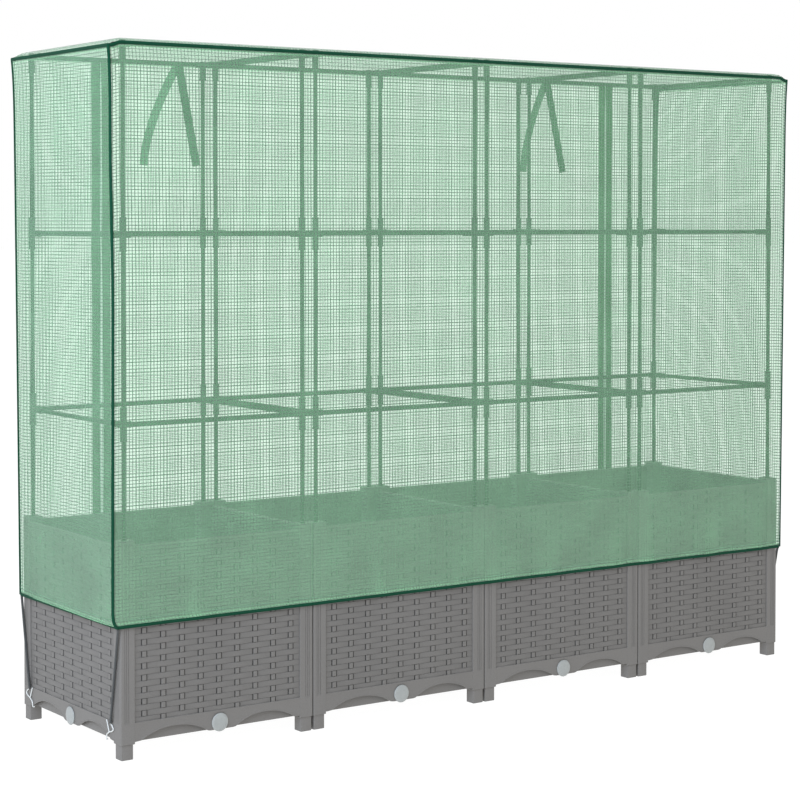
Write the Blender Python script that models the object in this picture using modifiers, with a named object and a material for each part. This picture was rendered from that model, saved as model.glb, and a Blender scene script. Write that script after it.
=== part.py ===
"""Covered raised planter: four square tubs in a row, a tube trellis standing in them and a net cover.

Units are metres, +Z is up, and the origin is on the floor under the middle of the row.
The row runs along X. The plain side of the cover faces -Y, and its roll-up door faces +Y.
"""

import math

import bmesh
import bpy
from mathutils import Matrix, Vector

# Row of planters
BAYS = 4
PITCH = 0.400
PLANTER_GAP = 0.0015
CLEARANCE = 0.0003
SMALL_OVERLAP = 0.001

# Planter shell
PILLAR_WIDTH = 0.028
PILLAR_TOP = 0.387
PILLAR_ROUNDING = 0.008
PILLAR_WALL = 0.0025
PILLAR_CAP = 0.003
FOOT_WIDTH = 0.0205
FOOT_INSET = 0.0045
FOOT_HEIGHT = 0.030
FOOT_WALL = 0.003
SEAT_REACH = 0.007
SEAT_THICKNESS = 0.004
APRON_TOP = 0.065
APRON_WALL = 0.003
ARCH_TOP = 0.0495
ARCH_FROM_CENTRE = 0.035
ARCH_TO_PILLAR = 0.0145
ARCH_END_RISE = 0.007
ARCH_CORNER = 0.005
ARCH_POWER = 2.2
APRON_RECESS = 0.0004
PANEL_TOP = 0.379
PANEL_WALL = 0.0024
PANEL_RECESS = 0.002
RIM_HEIGHT = 0.004
RIM_WIDTH = 0.0045
RIM_RECESS = 0.0009
WALL_BITE = 0.0016
PANEL_BITE = 0.00128
RIM_BITE = 0.00144

# Planter base and its drain plugs
BASE_WALL = 0.0025
BASE_FLOOR = 0.003
BASE_SETBACK = 0.005
BASE_FLANGE = 0.003
PLUG_HEIGHT = 0.043
PLUG_HEAD_RADIUS = 0.0175
PLUG_HEAD_THICKNESS = 0.003
PLUG_DOME = 0.0012
PLUG_STEM_RADIUS = 0.008
PLUG_STEM_LENGTH = 0.016
PLUG_STEPS = 12

# Trellis
TUBE_RADIUS = 0.004
CONNECTOR_RADIUS = 0.0060
CONNECTOR_REACH = 0.030
CROSS_DROP = 0.0004
RAIL_BITE = 0.0015
RAIL_RADIUS = 0.0044
POST_DEPTH = 0.085
POST_STOP = 0.004
SLEEVE_WALL = 0.0025
RAIL_LEVELS = {"lower": 0.590, "middle": 0.924, "top": 1.258}
TOP_CAP = 0.0022
CONNECTOR_TOP_REACH = 0.0066
POST_SIDES = 8
RAIL_SIDES = 6

# Net cover
FILM = 0.0010
HEM_HEIGHT = 0.237
HEM_OUTSIDE = 0.0095
COVER_LEAN = 0.006
COVER_FLARE = 0.0045
FLARE_DEPTH = 0.040
COVER_FRONT_OUTSIDE = 0.0040
END_SEAM_HEIGHT = 1.2525
SEAM_RISE = 0.0095
SEAM_RISE_RUN = 0.022
BINDING_RADIUS = 0.0025
WAVE_HEIGHT = 0.0012
COVER_ROWS = 7
ROW_CROWDING = 1.6
END_COLUMNS = 4
SEAM_RUNS = [0.0, 0.006, 0.013, SEAM_RISE_RUN]

# Door with its zips and ties
ZIP_FROM_END = 0.1650
ZIP_TAPE_WIDTH = 0.0235
ZIP_SPLIT = 0.0010
DOOR_TOP_DROP = 0.0055
SLIDER_SIZE = (0.010, 0.0035, 0.015)
SLIDER_ABOVE_HEM = 0.020
PULL_SIZE = (0.006, 0.0016, 0.028)
TIE_FROM_END = 0.3300
TIE_WIDTH = 0.016
TIE_THICKNESS = 0.0012
TIE_LENGTH = 0.203
TIE_LEG_OUT = 0.067
TIE_LEG_IN = 0.048
TIE_BRIDGE = 0.0018
TIE_BEND_POWER = 1.6

# Elastic cords and hooks at the two ends, whose front and rear ones are hooked on by hand
CORD_RADIUS = 0.0020
CORD_OUTSIDE = 0.0010
CORD_TOP_FROM_CORNER = {"front": 0.0110, "rear": 0.0040}
HOOK_FROM_MIDDLE = {"front": 0.1565, "rear": 0.1775}
HOOK_WIRE = 0.0011
HOOK_OUTSIDE = 0.0005
HOOK_EYE = 0.0545
HOOK_CURL_OUT = 0.0125
HOOK_CURL_HEIGHT = 0.0455
HOOK_JUNCTION_IN = 0.0045
HOOK_JUNCTION = 0.0392
HOOK_PRONG_IN = 0.0136
HOOK_PRONG_TOP = 0.0600
HOOK_FOOT_IN = 0.0147
HOOK_FOOT_REACH = 0.0018
HOOK_FOOT_RISE = 0.0030
HOOK_GAP = 0.0012

# Values worked out from the sizes above
HALF_PLAN = (PITCH - PLANTER_GAP) / 2
POST_FROM_CENTRE = HALF_PLAN - PILLAR_WIDTH / 2
PILLAR_INNER = HALF_PLAN - PILLAR_WIDTH
ROW_HALF_LENGTH = (BAYS - 1) / 2 * PITCH + HALF_PLAN
BORE_RADIUS = TUBE_RADIUS + CLEARANCE
POST_BOTTOM = PILLAR_TOP - POST_DEPTH
TOP_LEVEL = RAIL_LEVELS["top"]
FRAME_TOP = TOP_LEVEL + CONNECTOR_TOP_REACH
POST_TOP = FRAME_TOP - TOP_CAP - CLEARANCE
COVER_HALF_Y = HALF_PLAN + COVER_FRONT_OUTSIDE
COVER_TOP_HALF_X = ROW_HALF_LENGTH + HEM_OUTSIDE + COVER_LEAN + COVER_FLARE
SIDE_SEAM_HEIGHT = END_SEAM_HEIGHT + SEAM_RISE
CROWN_HEIGHT = FRAME_TOP + CLEARANCE + FILM
SHEET_EDGE = BINDING_RADIUS + 2 * CLEARANCE
CONNECTOR_EDGE = CONNECTOR_RADIUS + CLEARANCE
END_POST = (BAYS - 1) / 2 * PITCH + POST_FROM_CENTRE
CROWN_SLOPE_X = COVER_TOP_HALF_X - SHEET_EDGE - END_POST - CONNECTOR_EDGE
CROWN_SLOPE_Y = COVER_HALF_Y - SHEET_EDGE - POST_FROM_CENTRE - CONNECTOR_EDGE
ZIP_LINE = ROW_HALF_LENGTH - ZIP_FROM_END
DOOR_TOP = SIDE_SEAM_HEIGHT - DOOR_TOP_DROP
TIE_X = ROW_HALF_LENGTH - TIE_FROM_END

# Colours of the materials: red, green and blue from 0 to 1, then roughness
FINISHES = {
    "planter_plastic": ((0.27, 0.26, 0.25), 0.55),
    "plug_plastic": ((0.78, 0.80, 0.79), 0.40),
    "trellis_plastic": ((0.16, 0.17, 0.16), 0.50),
    "net_film": ((0.42, 0.72, 0.50), 0.45),
    "binding_tape": ((0.02, 0.12, 0.06), 0.70),
    "zip_tape": ((0.10, 0.38, 0.17), 0.65),
    "elastic_cord": ((0.06, 0.06, 0.06), 0.80),
    "hook_wire": ((0.85, 0.86, 0.86), 0.35),
}


def clear_scene():
    """Removes every object, so that the model starts from nothing."""
    for obj in list(bpy.data.objects):
        bpy.data.objects.remove(obj, do_unlink=True)


def make_materials():
    """One Principled material for each finish."""
    made = {}
    for name, (colour, roughness) in FINISHES.items():
        material = bpy.data.materials.new(name)
        material.use_nodes = True
        shader = material.node_tree.nodes["Principled BSDF"]
        shader.inputs["Base Color"].default_value = (*colour, 1.0)
        shader.inputs["Roughness"].default_value = roughness
        shader.inputs["Metallic"].default_value = 0.0
        made[name] = material
    return made


def mesh_of(bm, name):
    """A mesh with the contents of bm, its faces pointing outwards."""
    bm.normal_update()
    bmesh.ops.recalc_face_normals(bm, faces=bm.faces)
    mesh = bpy.data.meshes.new(name)
    bm.to_mesh(mesh)
    bm.free()
    return mesh


def box(low, high):
    """A rectangular block between two corners."""
    low, high = Vector(low), Vector(high)
    bm = bmesh.new()
    bmesh.ops.create_cube(bm, size=1.0)
    size = Matrix.Diagonal((*(high - low), 1.0))
    bm.transform(Matrix.Translation((low + high) / 2) @ size)
    return mesh_of(bm, "box")


def rod(start, end, radius, sides=POST_SIDES):
    """A straight round bar between two points, with flats rather than corners towards the axes."""
    start, end = Vector(start), Vector(end)
    run = end - start
    bm = bmesh.new()
    bmesh.ops.create_cone(
        bm, cap_ends=True, segments=sides, radius1=radius, radius2=radius, depth=run.length
    )
    turn = run.to_track_quat("Z", "Y").to_matrix().to_4x4()
    half_step = Matrix.Rotation(math.pi / sides, 4, "Z")
    bm.transform(Matrix.Translation((start + end) / 2) @ turn @ half_step)
    return mesh_of(bm, "rod")


def mesh_from_curve(curve, placing=None):
    """The curve's filled solid as a mesh, with its caps welded and its flat sides whole."""
    obj = bpy.data.objects.new("curve", curve)
    bpy.context.scene.collection.objects.link(obj)
    bpy.context.view_layer.update()
    graph = bpy.context.evaluated_depsgraph_get()
    mesh = bpy.data.meshes.new_from_object(obj.evaluated_get(graph))
    bpy.data.objects.remove(obj, do_unlink=True)
    bm = bmesh.new()
    bm.from_mesh(mesh)
    bpy.data.meshes.remove(mesh)
    bmesh.ops.remove_doubles(bm, verts=bm.verts, dist=1e-6)
    if curve.dimensions == "2D":
        for height in (-curve.extrude, curve.extrude):
            flat = [
                face
                for face in bm.faces
                if all(abs(vertex.co.z - height) < 1e-6 for vertex in face.verts)
            ]
            bmesh.ops.dissolve_faces(bm, faces=flat)
    if placing is not None:
        bm.transform(placing)
    return mesh_of(bm, "from_curve")


def slab(outline, low, high, placing=None):
    """A flat outline in X and Y, given thickness from low to high along Z, then placed."""
    curve = bpy.data.curves.new("outline", "CURVE")
    curve.dimensions = "2D"
    curve.fill_mode = "BOTH"
    curve.extrude = (high - low) / 2
    spline = curve.splines.new("POLY")
    spline.points.add(len(outline) - 1)
    for point, (x, y) in zip(spline.points, outline):
        point.co = (x, y, 0.0, 1.0)
    spline.use_cyclic_u = True
    lift = Matrix.Translation((0, 0, (low + high) / 2))
    return mesh_from_curve(curve, lift if placing is None else placing @ lift)


def tube(points, radius, closed=False, resolution=1):
    """A round tube along points."""
    curve = bpy.data.curves.new("tube", "CURVE")
    curve.dimensions = "3D"
    curve.bevel_depth = radius
    curve.bevel_resolution = resolution
    curve.use_fill_caps = not closed
    spline = curve.splines.new("POLY")
    spline.points.add(len(points) - 1)
    for point, place in zip(spline.points, points):
        point.co = (*place, 1.0)
    spline.use_cyclic_u = closed
    return mesh_from_curve(curve)


def fused(steps):
    """One mesh from a list of (operation, mesh), applied in order to the first."""
    scene = bpy.context.scene.collection
    made = []
    for _, mesh in steps:
        obj = bpy.data.objects.new("operand", mesh)
        scene.objects.link(obj)
        made.append(obj)
    body = made[0]
    for (operation, _), other in zip(steps[1:], made[1:]):
        modifier = body.modifiers.new("step", "BOOLEAN")
        modifier.operation = operation
        modifier.object = other
        modifier.solver = "EXACT"
    bpy.context.view_layer.update()
    graph = bpy.context.evaluated_depsgraph_get()
    result = bpy.data.meshes.new_from_object(body.evaluated_get(graph))
    for obj in made:
        bpy.data.objects.remove(obj, do_unlink=True)
    return result


def turned(mesh, quarter_turns):
    """A copy of a mesh, turned about Z by quarter turns."""
    copy = mesh.copy()
    copy.transform(Matrix.Rotation(math.pi / 2 * quarter_turns, 4, "Z"))
    return copy


def arc(centre, radius, start, end, steps):
    """Points along an arc, angles in degrees."""
    return [
        (
            centre[0] + radius * math.cos(math.radians(start + (end - start) * i / steps)),
            centre[1] + radius * math.sin(math.radians(start + (end - start) * i / steps)),
        )
        for i in range(steps + 1)
    ]


def soft_step(t):
    """0 to 1 with a level start and end, for t from 0 to 1."""
    t = min(1.0, max(0.0, t))
    return t * t * (3 - 2 * t)


class Builder:
    """Places finished meshes as named objects in the model's collection."""

    def __init__(self):
        self.materials = make_materials()
        self.collection = bpy.data.collections.new("covered_raised_planter")
        bpy.context.scene.collection.children.link(self.collection)

    def place(self, name, mesh, finish, location=(0, 0, 0)):
        """A new object of this name, whose origin is at location."""
        mesh.materials.clear()
        mesh.materials.append(self.materials[finish])
        obj = bpy.data.objects.new(name, mesh)
        obj.location = location
        self.collection.objects.link(obj)
        return obj

    def place_about(self, name, mesh, finish, pivot):
        """As place, but the mesh is in world places and its origin moves to the joint at pivot."""
        mesh.transform(Matrix.Translation(-Vector(pivot)))
        return self.place(name, mesh, finish, pivot)


def bay_centre(bay):
    """X of a planter's centre, counted from the left."""
    return (bay - (BAYS - 1) / 2) * PITCH


def apron_outline():
    """The apron of one side, from pillar to pillar, with its two arches along the lower edge."""
    arch_end = PILLAR_INNER - ARCH_TO_PILLAR
    arch_half = (arch_end - ARCH_FROM_CENTRE) / 2
    arch_middle = ARCH_FROM_CENTRE + arch_half
    inside_pillar = PILLAR_INNER + WALL_BITE
    half = [(ARCH_FROM_CENTRE - ARCH_CORNER, FOOT_HEIGHT)]
    steps = 5
    for i in range(steps + 1):
        across = -1 + 2 * i / steps
        base = FOOT_HEIGHT + SMALL_OVERLAP + ARCH_END_RISE * soft_step((across + 1) / 2)
        rise = (1 - abs(across) ** ARCH_POWER) * (ARCH_TOP - base)
        half.append((arch_middle + arch_half * across, base + rise))
    half.append((PILLAR_INNER - ARCH_CORNER, FOOT_HEIGHT + ARCH_END_RISE - SMALL_OVERLAP))
    half.append((PILLAR_INNER, FOOT_HEIGHT + SMALL_OVERLAP))
    half.append((inside_pillar, FOOT_HEIGHT + SMALL_OVERLAP))
    half.append((inside_pillar, APRON_TOP))
    return half + [(-x, z) for x, z in reversed(half)]


def upright_side(outline, face, wall):
    """An upright plate with its outer side at y = -face, from an outline in X and Z."""
    stand = Matrix.Rotation(math.pi / 2, 4, "X")
    return slab(outline, face - wall, face, stand)


def rectangle(half_x, low, high):
    """The outline of a rectangle centred on x = 0."""
    return [(-half_x, low), (half_x, low), (half_x, high), (-half_x, high)]


def pillar_outline(inset=0.0):
    """A pillar's section about its own centre, its rounded corner towards -X and -Y."""
    half = PILLAR_WIDTH / 2 - inset
    rounding = PILLAR_ROUNDING - inset
    centre = (-half + rounding, -half + rounding)
    return arc(centre, rounding, 180, 270, 3) + [(half, -half), (half, half), (-half, half)]


def at_corner(mesh):
    """Moves a mesh made about a pillar's centre to the pillar in the -X, -Y corner."""
    mesh.transform(Matrix.Translation((-POST_FROM_CENTRE, -POST_FROM_CENTRE, 0)))
    return mesh


def square(half, low, high):
    """A square block about Z."""
    return box((-half, -half, low), (half, half, high))


def plug_hole(radius):
    """A cutter through one side's apron and base at the plug's place."""
    outer = HALF_PLAN + SMALL_OVERLAP
    inner = HALF_PLAN - APRON_WALL - BASE_SETBACK - BASE_WALL - 4 * SMALL_OVERLAP
    return rod((0, -outer, PLUG_HEIGHT), (0, -inner, PLUG_HEIGHT), radius, PLUG_STEPS)


def planter_shell():
    """Walls, apron, pillars, feet and post sockets of one planter, about its own centre."""
    apron = upright_side(apron_outline(), HALF_PLAN - APRON_RECESS, APRON_WALL)
    wall_low = APRON_TOP - SMALL_OVERLAP * 2
    panel = upright_side(
        rectangle(PILLAR_INNER + PANEL_BITE, wall_low, PANEL_TOP - RIM_HEIGHT / 2),
        HALF_PLAN - PANEL_RECESS,
        PANEL_WALL,
    )
    rim = upright_side(
        rectangle(PILLAR_INNER + RIM_BITE, PANEL_TOP - RIM_HEIGHT, PANEL_TOP),
        HALF_PLAN - RIM_RECESS,
        RIM_WIDTH,
    )
    pillar = at_corner(slab(pillar_outline(), FOOT_HEIGHT, PILLAR_TOP))
    foot_half = FOOT_WIDTH / 2
    foot_shift = FOOT_INSET + foot_half - PILLAR_WIDTH / 2
    foot = square(foot_half, 0.0, FOOT_HEIGHT + SMALL_OVERLAP)
    foot.transform(Matrix.Translation((foot_shift, foot_shift, 0)))
    foot = at_corner(foot)
    seat_low = FOOT_HEIGHT - SEAT_THICKNESS
    seat_end = -PILLAR_INNER + SEAT_REACH
    seat_start = -HALF_PLAN + FOOT_INSET + SMALL_OVERLAP
    seat = box(
        (seat_start, seat_start, seat_low), (seat_end, seat_end, FOOT_HEIGHT - CLEARANCE)
    )
    hollow = at_corner(
        slab(pillar_outline(PILLAR_WALL), FOOT_HEIGHT + PILLAR_CAP, PILLAR_TOP - PILLAR_CAP)
    )
    foot_hollow = square(foot_half - FOOT_WALL, -SMALL_OVERLAP, FOOT_HEIGHT + 2 * PILLAR_CAP)
    foot_hollow.transform(Matrix.Translation((foot_shift, foot_shift, 0)))
    foot_hollow = at_corner(foot_hollow)
    socket_low = POST_BOTTOM - CLEARANCE
    sleeve = at_corner(
        rod(
            (0, 0, socket_low - POST_STOP),
            (0, 0, PILLAR_TOP - PILLAR_CAP / 2),
            BORE_RADIUS + SLEEVE_WALL,
            8,
        )
    )
    bore = at_corner(rod((0, 0, socket_low), (0, 0, PILLAR_TOP + SMALL_OVERLAP), BORE_RADIUS))
    hole = plug_hole(PLUG_STEM_RADIUS + CLEARANCE)
    steps = []
    for operation, mesh in (
        ("UNION", pillar),
        ("UNION", apron),
        ("UNION", panel),
        ("UNION", rim),
        ("UNION", foot),
        ("UNION", seat),
        ("DIFFERENCE", hollow),
        ("DIFFERENCE", foot_hollow),
        ("UNION", sleeve),
        ("DIFFERENCE", bore),
        ("DIFFERENCE", hole),
    ):
        steps += [(operation, turned(mesh, quarter)) for quarter in range(4)]
    return fused(steps)


def notched_outline(half, notch):
    """A square of half-width half, with its four corners cut away from notch outwards."""
    quarter = [(notch, -half), (notch, -notch), (half, -notch)]
    outline = []
    for turn in range(4):
        c, s = round(math.cos(math.pi / 2 * turn)), round(math.sin(math.pi / 2 * turn))
        outline += [(x * c - y * s, x * s + y * c) for x, y in quarter]
    return outline


def planter_base():
    """The tray that holds the soil, about the planter's centre."""
    notch = PILLAR_INNER - CLEARANCE
    flange = HALF_PLAN - APRON_RECESS - APRON_WALL - CLEARANCE
    wall = flange - BASE_SETBACK
    rim = APRON_TOP - 2 * SMALL_OVERLAP - CLEARANCE
    inner = wall - BASE_WALL
    body_notch = notch - SMALL_OVERLAP
    steps = [
        ("UNION", slab(notched_outline(wall, body_notch), FOOT_HEIGHT, rim - SMALL_OVERLAP)),
        ("UNION", slab(notched_outline(flange, notch), rim - BASE_FLANGE, rim)),
        (
            "DIFFERENCE",
            slab(
                notched_outline(inner, body_notch - BASE_WALL),
                FOOT_HEIGHT + BASE_FLOOR,
                rim + SMALL_OVERLAP,
            ),
        ),
    ]
    hole = plug_hole(PLUG_STEM_RADIUS + CLEARANCE)
    steps += [("DIFFERENCE", turned(hole, quarter)) for quarter in range(4)]
    return fused(steps)


def drain_plug():
    """A push-in plug about the apron's outer face, its head towards -Y."""
    head = PLUG_HEAD_THICKNESS
    seat = CLEARANCE - APRON_RECESS
    profile = [
        (0.0, head),
        (PLUG_HEAD_RADIUS * 0.7, head - PLUG_DOME * 0.3),
        (PLUG_HEAD_RADIUS, head - PLUG_DOME),
        (PLUG_HEAD_RADIUS, seat),
        (PLUG_STEM_RADIUS, seat),
        (PLUG_STEM_RADIUS, -PLUG_STEM_LENGTH),
        (0.0, -PLUG_STEM_LENGTH),
    ]
    bm = bmesh.new()
    points = [bm.verts.new((radius, 0, along)) for radius, along in profile]
    for first, second in zip(points, points[1:]):
        bm.edges.new((first, second))
    mesh = bpy.data.meshes.new("plug_profile")
    bm.to_mesh(mesh)
    bm.free()
    obj = bpy.data.objects.new("plug_profile", mesh)
    bpy.context.scene.collection.objects.link(obj)
    screw = obj.modifiers.new("turn", "SCREW")
    screw.steps = screw.render_steps = PLUG_STEPS
    screw.use_merge_vertices = True
    screw.merge_threshold = 1e-5
    bpy.context.view_layer.update()
    graph = bpy.context.evaluated_depsgraph_get()
    turned_mesh = bpy.data.meshes.new_from_object(obj.evaluated_get(graph))
    bpy.data.objects.remove(obj, do_unlink=True)
    bm = bmesh.new()
    bm.from_mesh(turned_mesh)
    bmesh.ops.remove_doubles(bm, verts=bm.verts, dist=1e-5)
    bm.transform(Matrix.Rotation(math.pi / 2, 4, "X"))
    return mesh_of(bm, "plug")


def post_places():
    """(name, x, y) of the sixteen posts: two at the front and two at the rear of each planter."""
    for bay in range(BAYS):
        for side, x_sign in (("left", -1), ("right", 1)):
            for row, y_sign in (("front", -1), ("rear", 1)):
                x = bay_centre(bay) + x_sign * POST_FROM_CENTRE
                yield f"post_{bay + 1}_{row}_{side}", x, y_sign * POST_FROM_CENTRE


def rail_grid(level):
    """Rails, stubs and connectors of one level, fused, with bores round the posts."""
    is_top = level == TOP_LEVEL
    steps = []
    row_end = END_POST + RAIL_BITE
    for y in (-POST_FROM_CENTRE, POST_FROM_CENTRE):
        rail = rod((-row_end, y, level), (row_end, y, level), RAIL_RADIUS, RAIL_SIDES)
        steps.append(("UNION", rail))
    cross_end = POST_FROM_CENTRE + RAIL_BITE
    lower = level - CROSS_DROP
    for bay in range(BAYS):
        for sign in (-1, 1):
            x = bay_centre(bay) + sign * POST_FROM_CENTRE
            rail = rod((x, -cross_end, lower), (x, cross_end, lower), RAIL_RADIUS, RAIL_SIDES)
            steps.append(("UNION", rail))
    high = FRAME_TOP if is_top else level + CONNECTOR_REACH
    bore_high = POST_TOP + CLEARANCE if is_top else high + SMALL_OVERLAP
    low = level - CONNECTOR_REACH
    places = [(x, y) for _, x, y in post_places()]
    steps += [
        ("UNION", rod((x, y, low), (x, y, high), CONNECTOR_RADIUS, RAIL_SIDES))
        for x, y in places
    ]
    steps += [
        ("DIFFERENCE", rod((x, y, low - SMALL_OVERLAP), (x, y, bore_high), BORE_RADIUS))
        for x, y in places
    ]
    return fused(steps)


def cover_half_x(z):
    """Half length of the cover at a height: it widens a little upwards and flares at the seam."""
    rise = (z - HEM_HEIGHT) / (END_SEAM_HEIGHT - HEM_HEIGHT)
    flare = COVER_FLARE * math.exp(-max(0.0, END_SEAM_HEIGHT - z) / FLARE_DEPTH)
    return ROW_HALF_LENGTH + HEM_OUTSIDE + COVER_LEAN * rise + flare


def seam_height(x):
    """Height of the front and rear seams: level over the row, dropping at the two ends."""
    from_end = COVER_TOP_HALF_X - abs(x)
    return END_SEAM_HEIGHT + SEAM_RISE * soft_step(from_end / SEAM_RISE_RUN)


def cover_wave(along, high):
    """The film's shallow waves, for places from 0 to 1 along and up a panel."""
    return WAVE_HEIGHT * math.sin(math.pi * high) * math.sin(2 * math.pi * along)


def cover_levels(low, high):
    """Heights up a panel, closer together towards the flared top."""
    return [low + (high - low) * (1 - (1 - i / COVER_ROWS) ** ROW_CROWDING) for i in range(COVER_ROWS + 1)]


def spread(start, end, start_runs, end_runs, inner):
    """Places from start to end: given steps in from both ends and even ones between them."""
    first, last = start + start_runs[-1], end - end_runs[-1]
    places = [start + run for run in start_runs]
    places += [first + (last - first) * i / inner for i in range(1, inner)]
    return places + [end - run for run in reversed(end_runs)]


def film_sheet(rows):
    """A thin closed sheet whose middle passes through rows of points."""
    across, along = len(rows[0]) - 1, len(rows) - 1
    bm = bmesh.new()
    bmesh.ops.create_grid(bm, x_segments=across, y_segments=along, size=0.5)
    for vertex in bm.verts:
        column, row = round((vertex.co.x + 0.5) * across), round((vertex.co.y + 0.5) * along)
        vertex.co = rows[row][column]
    mesh = bpy.data.meshes.new("film")
    bm.to_mesh(mesh)
    bm.free()
    obj = bpy.data.objects.new("film", mesh)
    bpy.context.scene.collection.objects.link(obj)
    solidify = obj.modifiers.new("film", "SOLIDIFY")
    solidify.thickness = FILM
    solidify.offset = 0.0
    bpy.context.view_layer.update()
    graph = bpy.context.evaluated_depsgraph_get()
    thick = bpy.data.meshes.new_from_object(obj.evaluated_get(graph))
    bpy.data.objects.remove(obj, do_unlink=True)
    bm = bmesh.new()
    bm.from_mesh(thick)
    return mesh_of(bm, "film")


def long_panel(y_sign, left, right, left_runs, right_runs, inner, drop=None):
    """A front or rear panel. left and right give x at a height; it ends below the seam, or by drop."""
    low = HEM_HEIGHT + SHEET_EDGE
    rows = []
    for share in cover_levels(0.0, 1.0):
        level = low + (SIDE_SEAM_HEIGHT - SHEET_EDGE - low) * share
        row = []
        for x in spread(left(level), right(level), left_runs, right_runs, inner):
            high = seam_height(x) - SHEET_EDGE if drop is None else SIDE_SEAM_HEIGHT - drop
            wave = cover_wave(x / PITCH, share)
            row.append((x, y_sign * (COVER_HALF_Y + wave), low + (high - low) * share))
        rows.append(row)
    return film_sheet(rows)


def end_panel(x_sign):
    """The panel across one end of the row."""
    half_y = COVER_HALF_Y - SHEET_EDGE
    rows = []
    for share in cover_levels(0.0, 1.0):
        low, high = HEM_HEIGHT + SHEET_EDGE, END_SEAM_HEIGHT - SHEET_EDGE
        z = low + (high - low) * share
        row = []
        for step in range(END_COLUMNS + 1):
            across = step / END_COLUMNS
            x = cover_half_x(z) + cover_wave(across / 2, share)
            row.append((x_sign * x, (2 * across - 1) * half_y, z))
        rows.append(row)
    return film_sheet(rows)


def crown_drop(from_edge, slope, full):
    """How far the top of the cover lies below its crown, at a distance from a seam."""
    return full * (1 - math.sin(math.pi / 2 * min(1.0, max(0.0, from_edge) / slope)))


def top_sheet():
    """The top of the cover, lying on the connectors and curving down to the seam all round."""
    half_x = COVER_TOP_HALF_X - SHEET_EDGE
    half_y = COVER_HALF_Y - SHEET_EDGE
    level = CROWN_HEIGHT - FILM / 2
    runs_x = [CROWN_SLOPE_X * share for share in (0.0, 0.25, 0.6, 1.0)]
    runs_y = [CROWN_SLOPE_Y * share for share in (0.0, 0.4, 1.0)]
    rows = []
    for y in spread(-half_y, half_y, runs_y, runs_y, 2):
        drop_y = crown_drop(half_y - abs(y), CROWN_SLOPE_Y, level - SIDE_SEAM_HEIGHT)
        row = []
        for x in spread(-half_x, half_x, runs_x, runs_x, BAYS):
            drop_x = crown_drop(half_x - abs(x), CROWN_SLOPE_X, level - END_SEAM_HEIGHT)
            row.append((x, y, level - max(drop_x, drop_y)))
        rows.append(row)
    return film_sheet(rows)


def cover_binding():
    """The dark tape along the cover's edges: four corners, the top seam and the hem beside the door."""
    levels = cover_levels(HEM_HEIGHT, END_SEAM_HEIGHT)
    verticals = []
    for x_sign in (-1, 1):
        for y_sign in (-1, 1):
            path = [(x_sign * cover_half_x(z), y_sign * COVER_HALF_Y, z) for z in levels]
            verticals.append(tube(path, BINDING_RADIUS))
    front = spread(-COVER_TOP_HALF_X, COVER_TOP_HALF_X, SEAM_RUNS, SEAM_RUNS, 1)
    ring = [(x, -COVER_HALF_Y, seam_height(x)) for x in front]
    ring += [(-x, COVER_HALF_Y, seam_height(x)) for x in front]
    hem_x = cover_half_x(HEM_HEIGHT)
    tape_edge = ZIP_LINE + ZIP_TAPE_WIDTH + CLEARANCE
    hem = [
        (-tape_edge, COVER_HALF_Y, HEM_HEIGHT),
        (-hem_x, COVER_HALF_Y, HEM_HEIGHT),
        (-hem_x, -COVER_HALF_Y, HEM_HEIGHT),
        (hem_x, -COVER_HALF_Y, HEM_HEIGHT),
        (hem_x, COVER_HALF_Y, HEM_HEIGHT),
        (tape_edge, COVER_HALF_Y, HEM_HEIGHT),
    ]
    pieces = [tube(ring, BINDING_RADIUS, closed=True), *verticals, tube(hem, BINDING_RADIUS)]
    return fused([("UNION", piece) for piece in pieces])


def zip_tape(x_sign):
    """The tape sewn to the fixed panel on one side of the door."""
    inner = x_sign * (ZIP_LINE + ZIP_SPLIT / 2)
    outer = x_sign * (ZIP_LINE + ZIP_TAPE_WIDTH)
    thickness = FILM + 2 * CLEARANCE
    return box(
        (min(inner, outer), COVER_HALF_Y - thickness / 2, HEM_HEIGHT - BINDING_RADIUS),
        (max(inner, outer), COVER_HALF_Y + thickness / 2, SIDE_SEAM_HEIGHT - SHEET_EDGE),
    )


def zip_slider(x_sign):
    """A zip's slider with its pull, at rest just above the hem and outside the tape."""
    across, deep, tall = SLIDER_SIZE
    x = x_sign * ZIP_LINE
    face = COVER_HALF_Y + FILM / 2 + 2 * CLEARANCE
    low = HEM_HEIGHT + BINDING_RADIUS + SLIDER_ABOVE_HEM
    body = box((x - across / 2, face, low), (x + across / 2, face + deep, low + tall))
    pull_wide, pull_deep, pull_tall = PULL_SIZE
    pull_face = face + deep - SMALL_OVERLAP
    pull = box(
        (x - pull_wide / 2, pull_face, low + tall / 2 - pull_tall),
        (x + pull_wide / 2, pull_face + pull_deep, low + tall / 2 + SMALL_OVERLAP),
    )
    return fused([("UNION", body), ("UNION", pull)])


def strip_outline(centre_line, width):
    """The outline of a strip of even width round a line of points in X and Z."""
    left, right = [], []
    for i, (x, z) in enumerate(centre_line):
        before = Vector(centre_line[max(0, i - 1)])
        after = Vector(centre_line[min(len(centre_line) - 1, i + 1)])
        run = (after - before).normalized()
        side = Vector((-run.y, run.x)) * width / 2
        left.append((x + side.x, z + side.y))
        right.append((x - side.x, z - side.y))
    return left + right[::-1]


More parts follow.
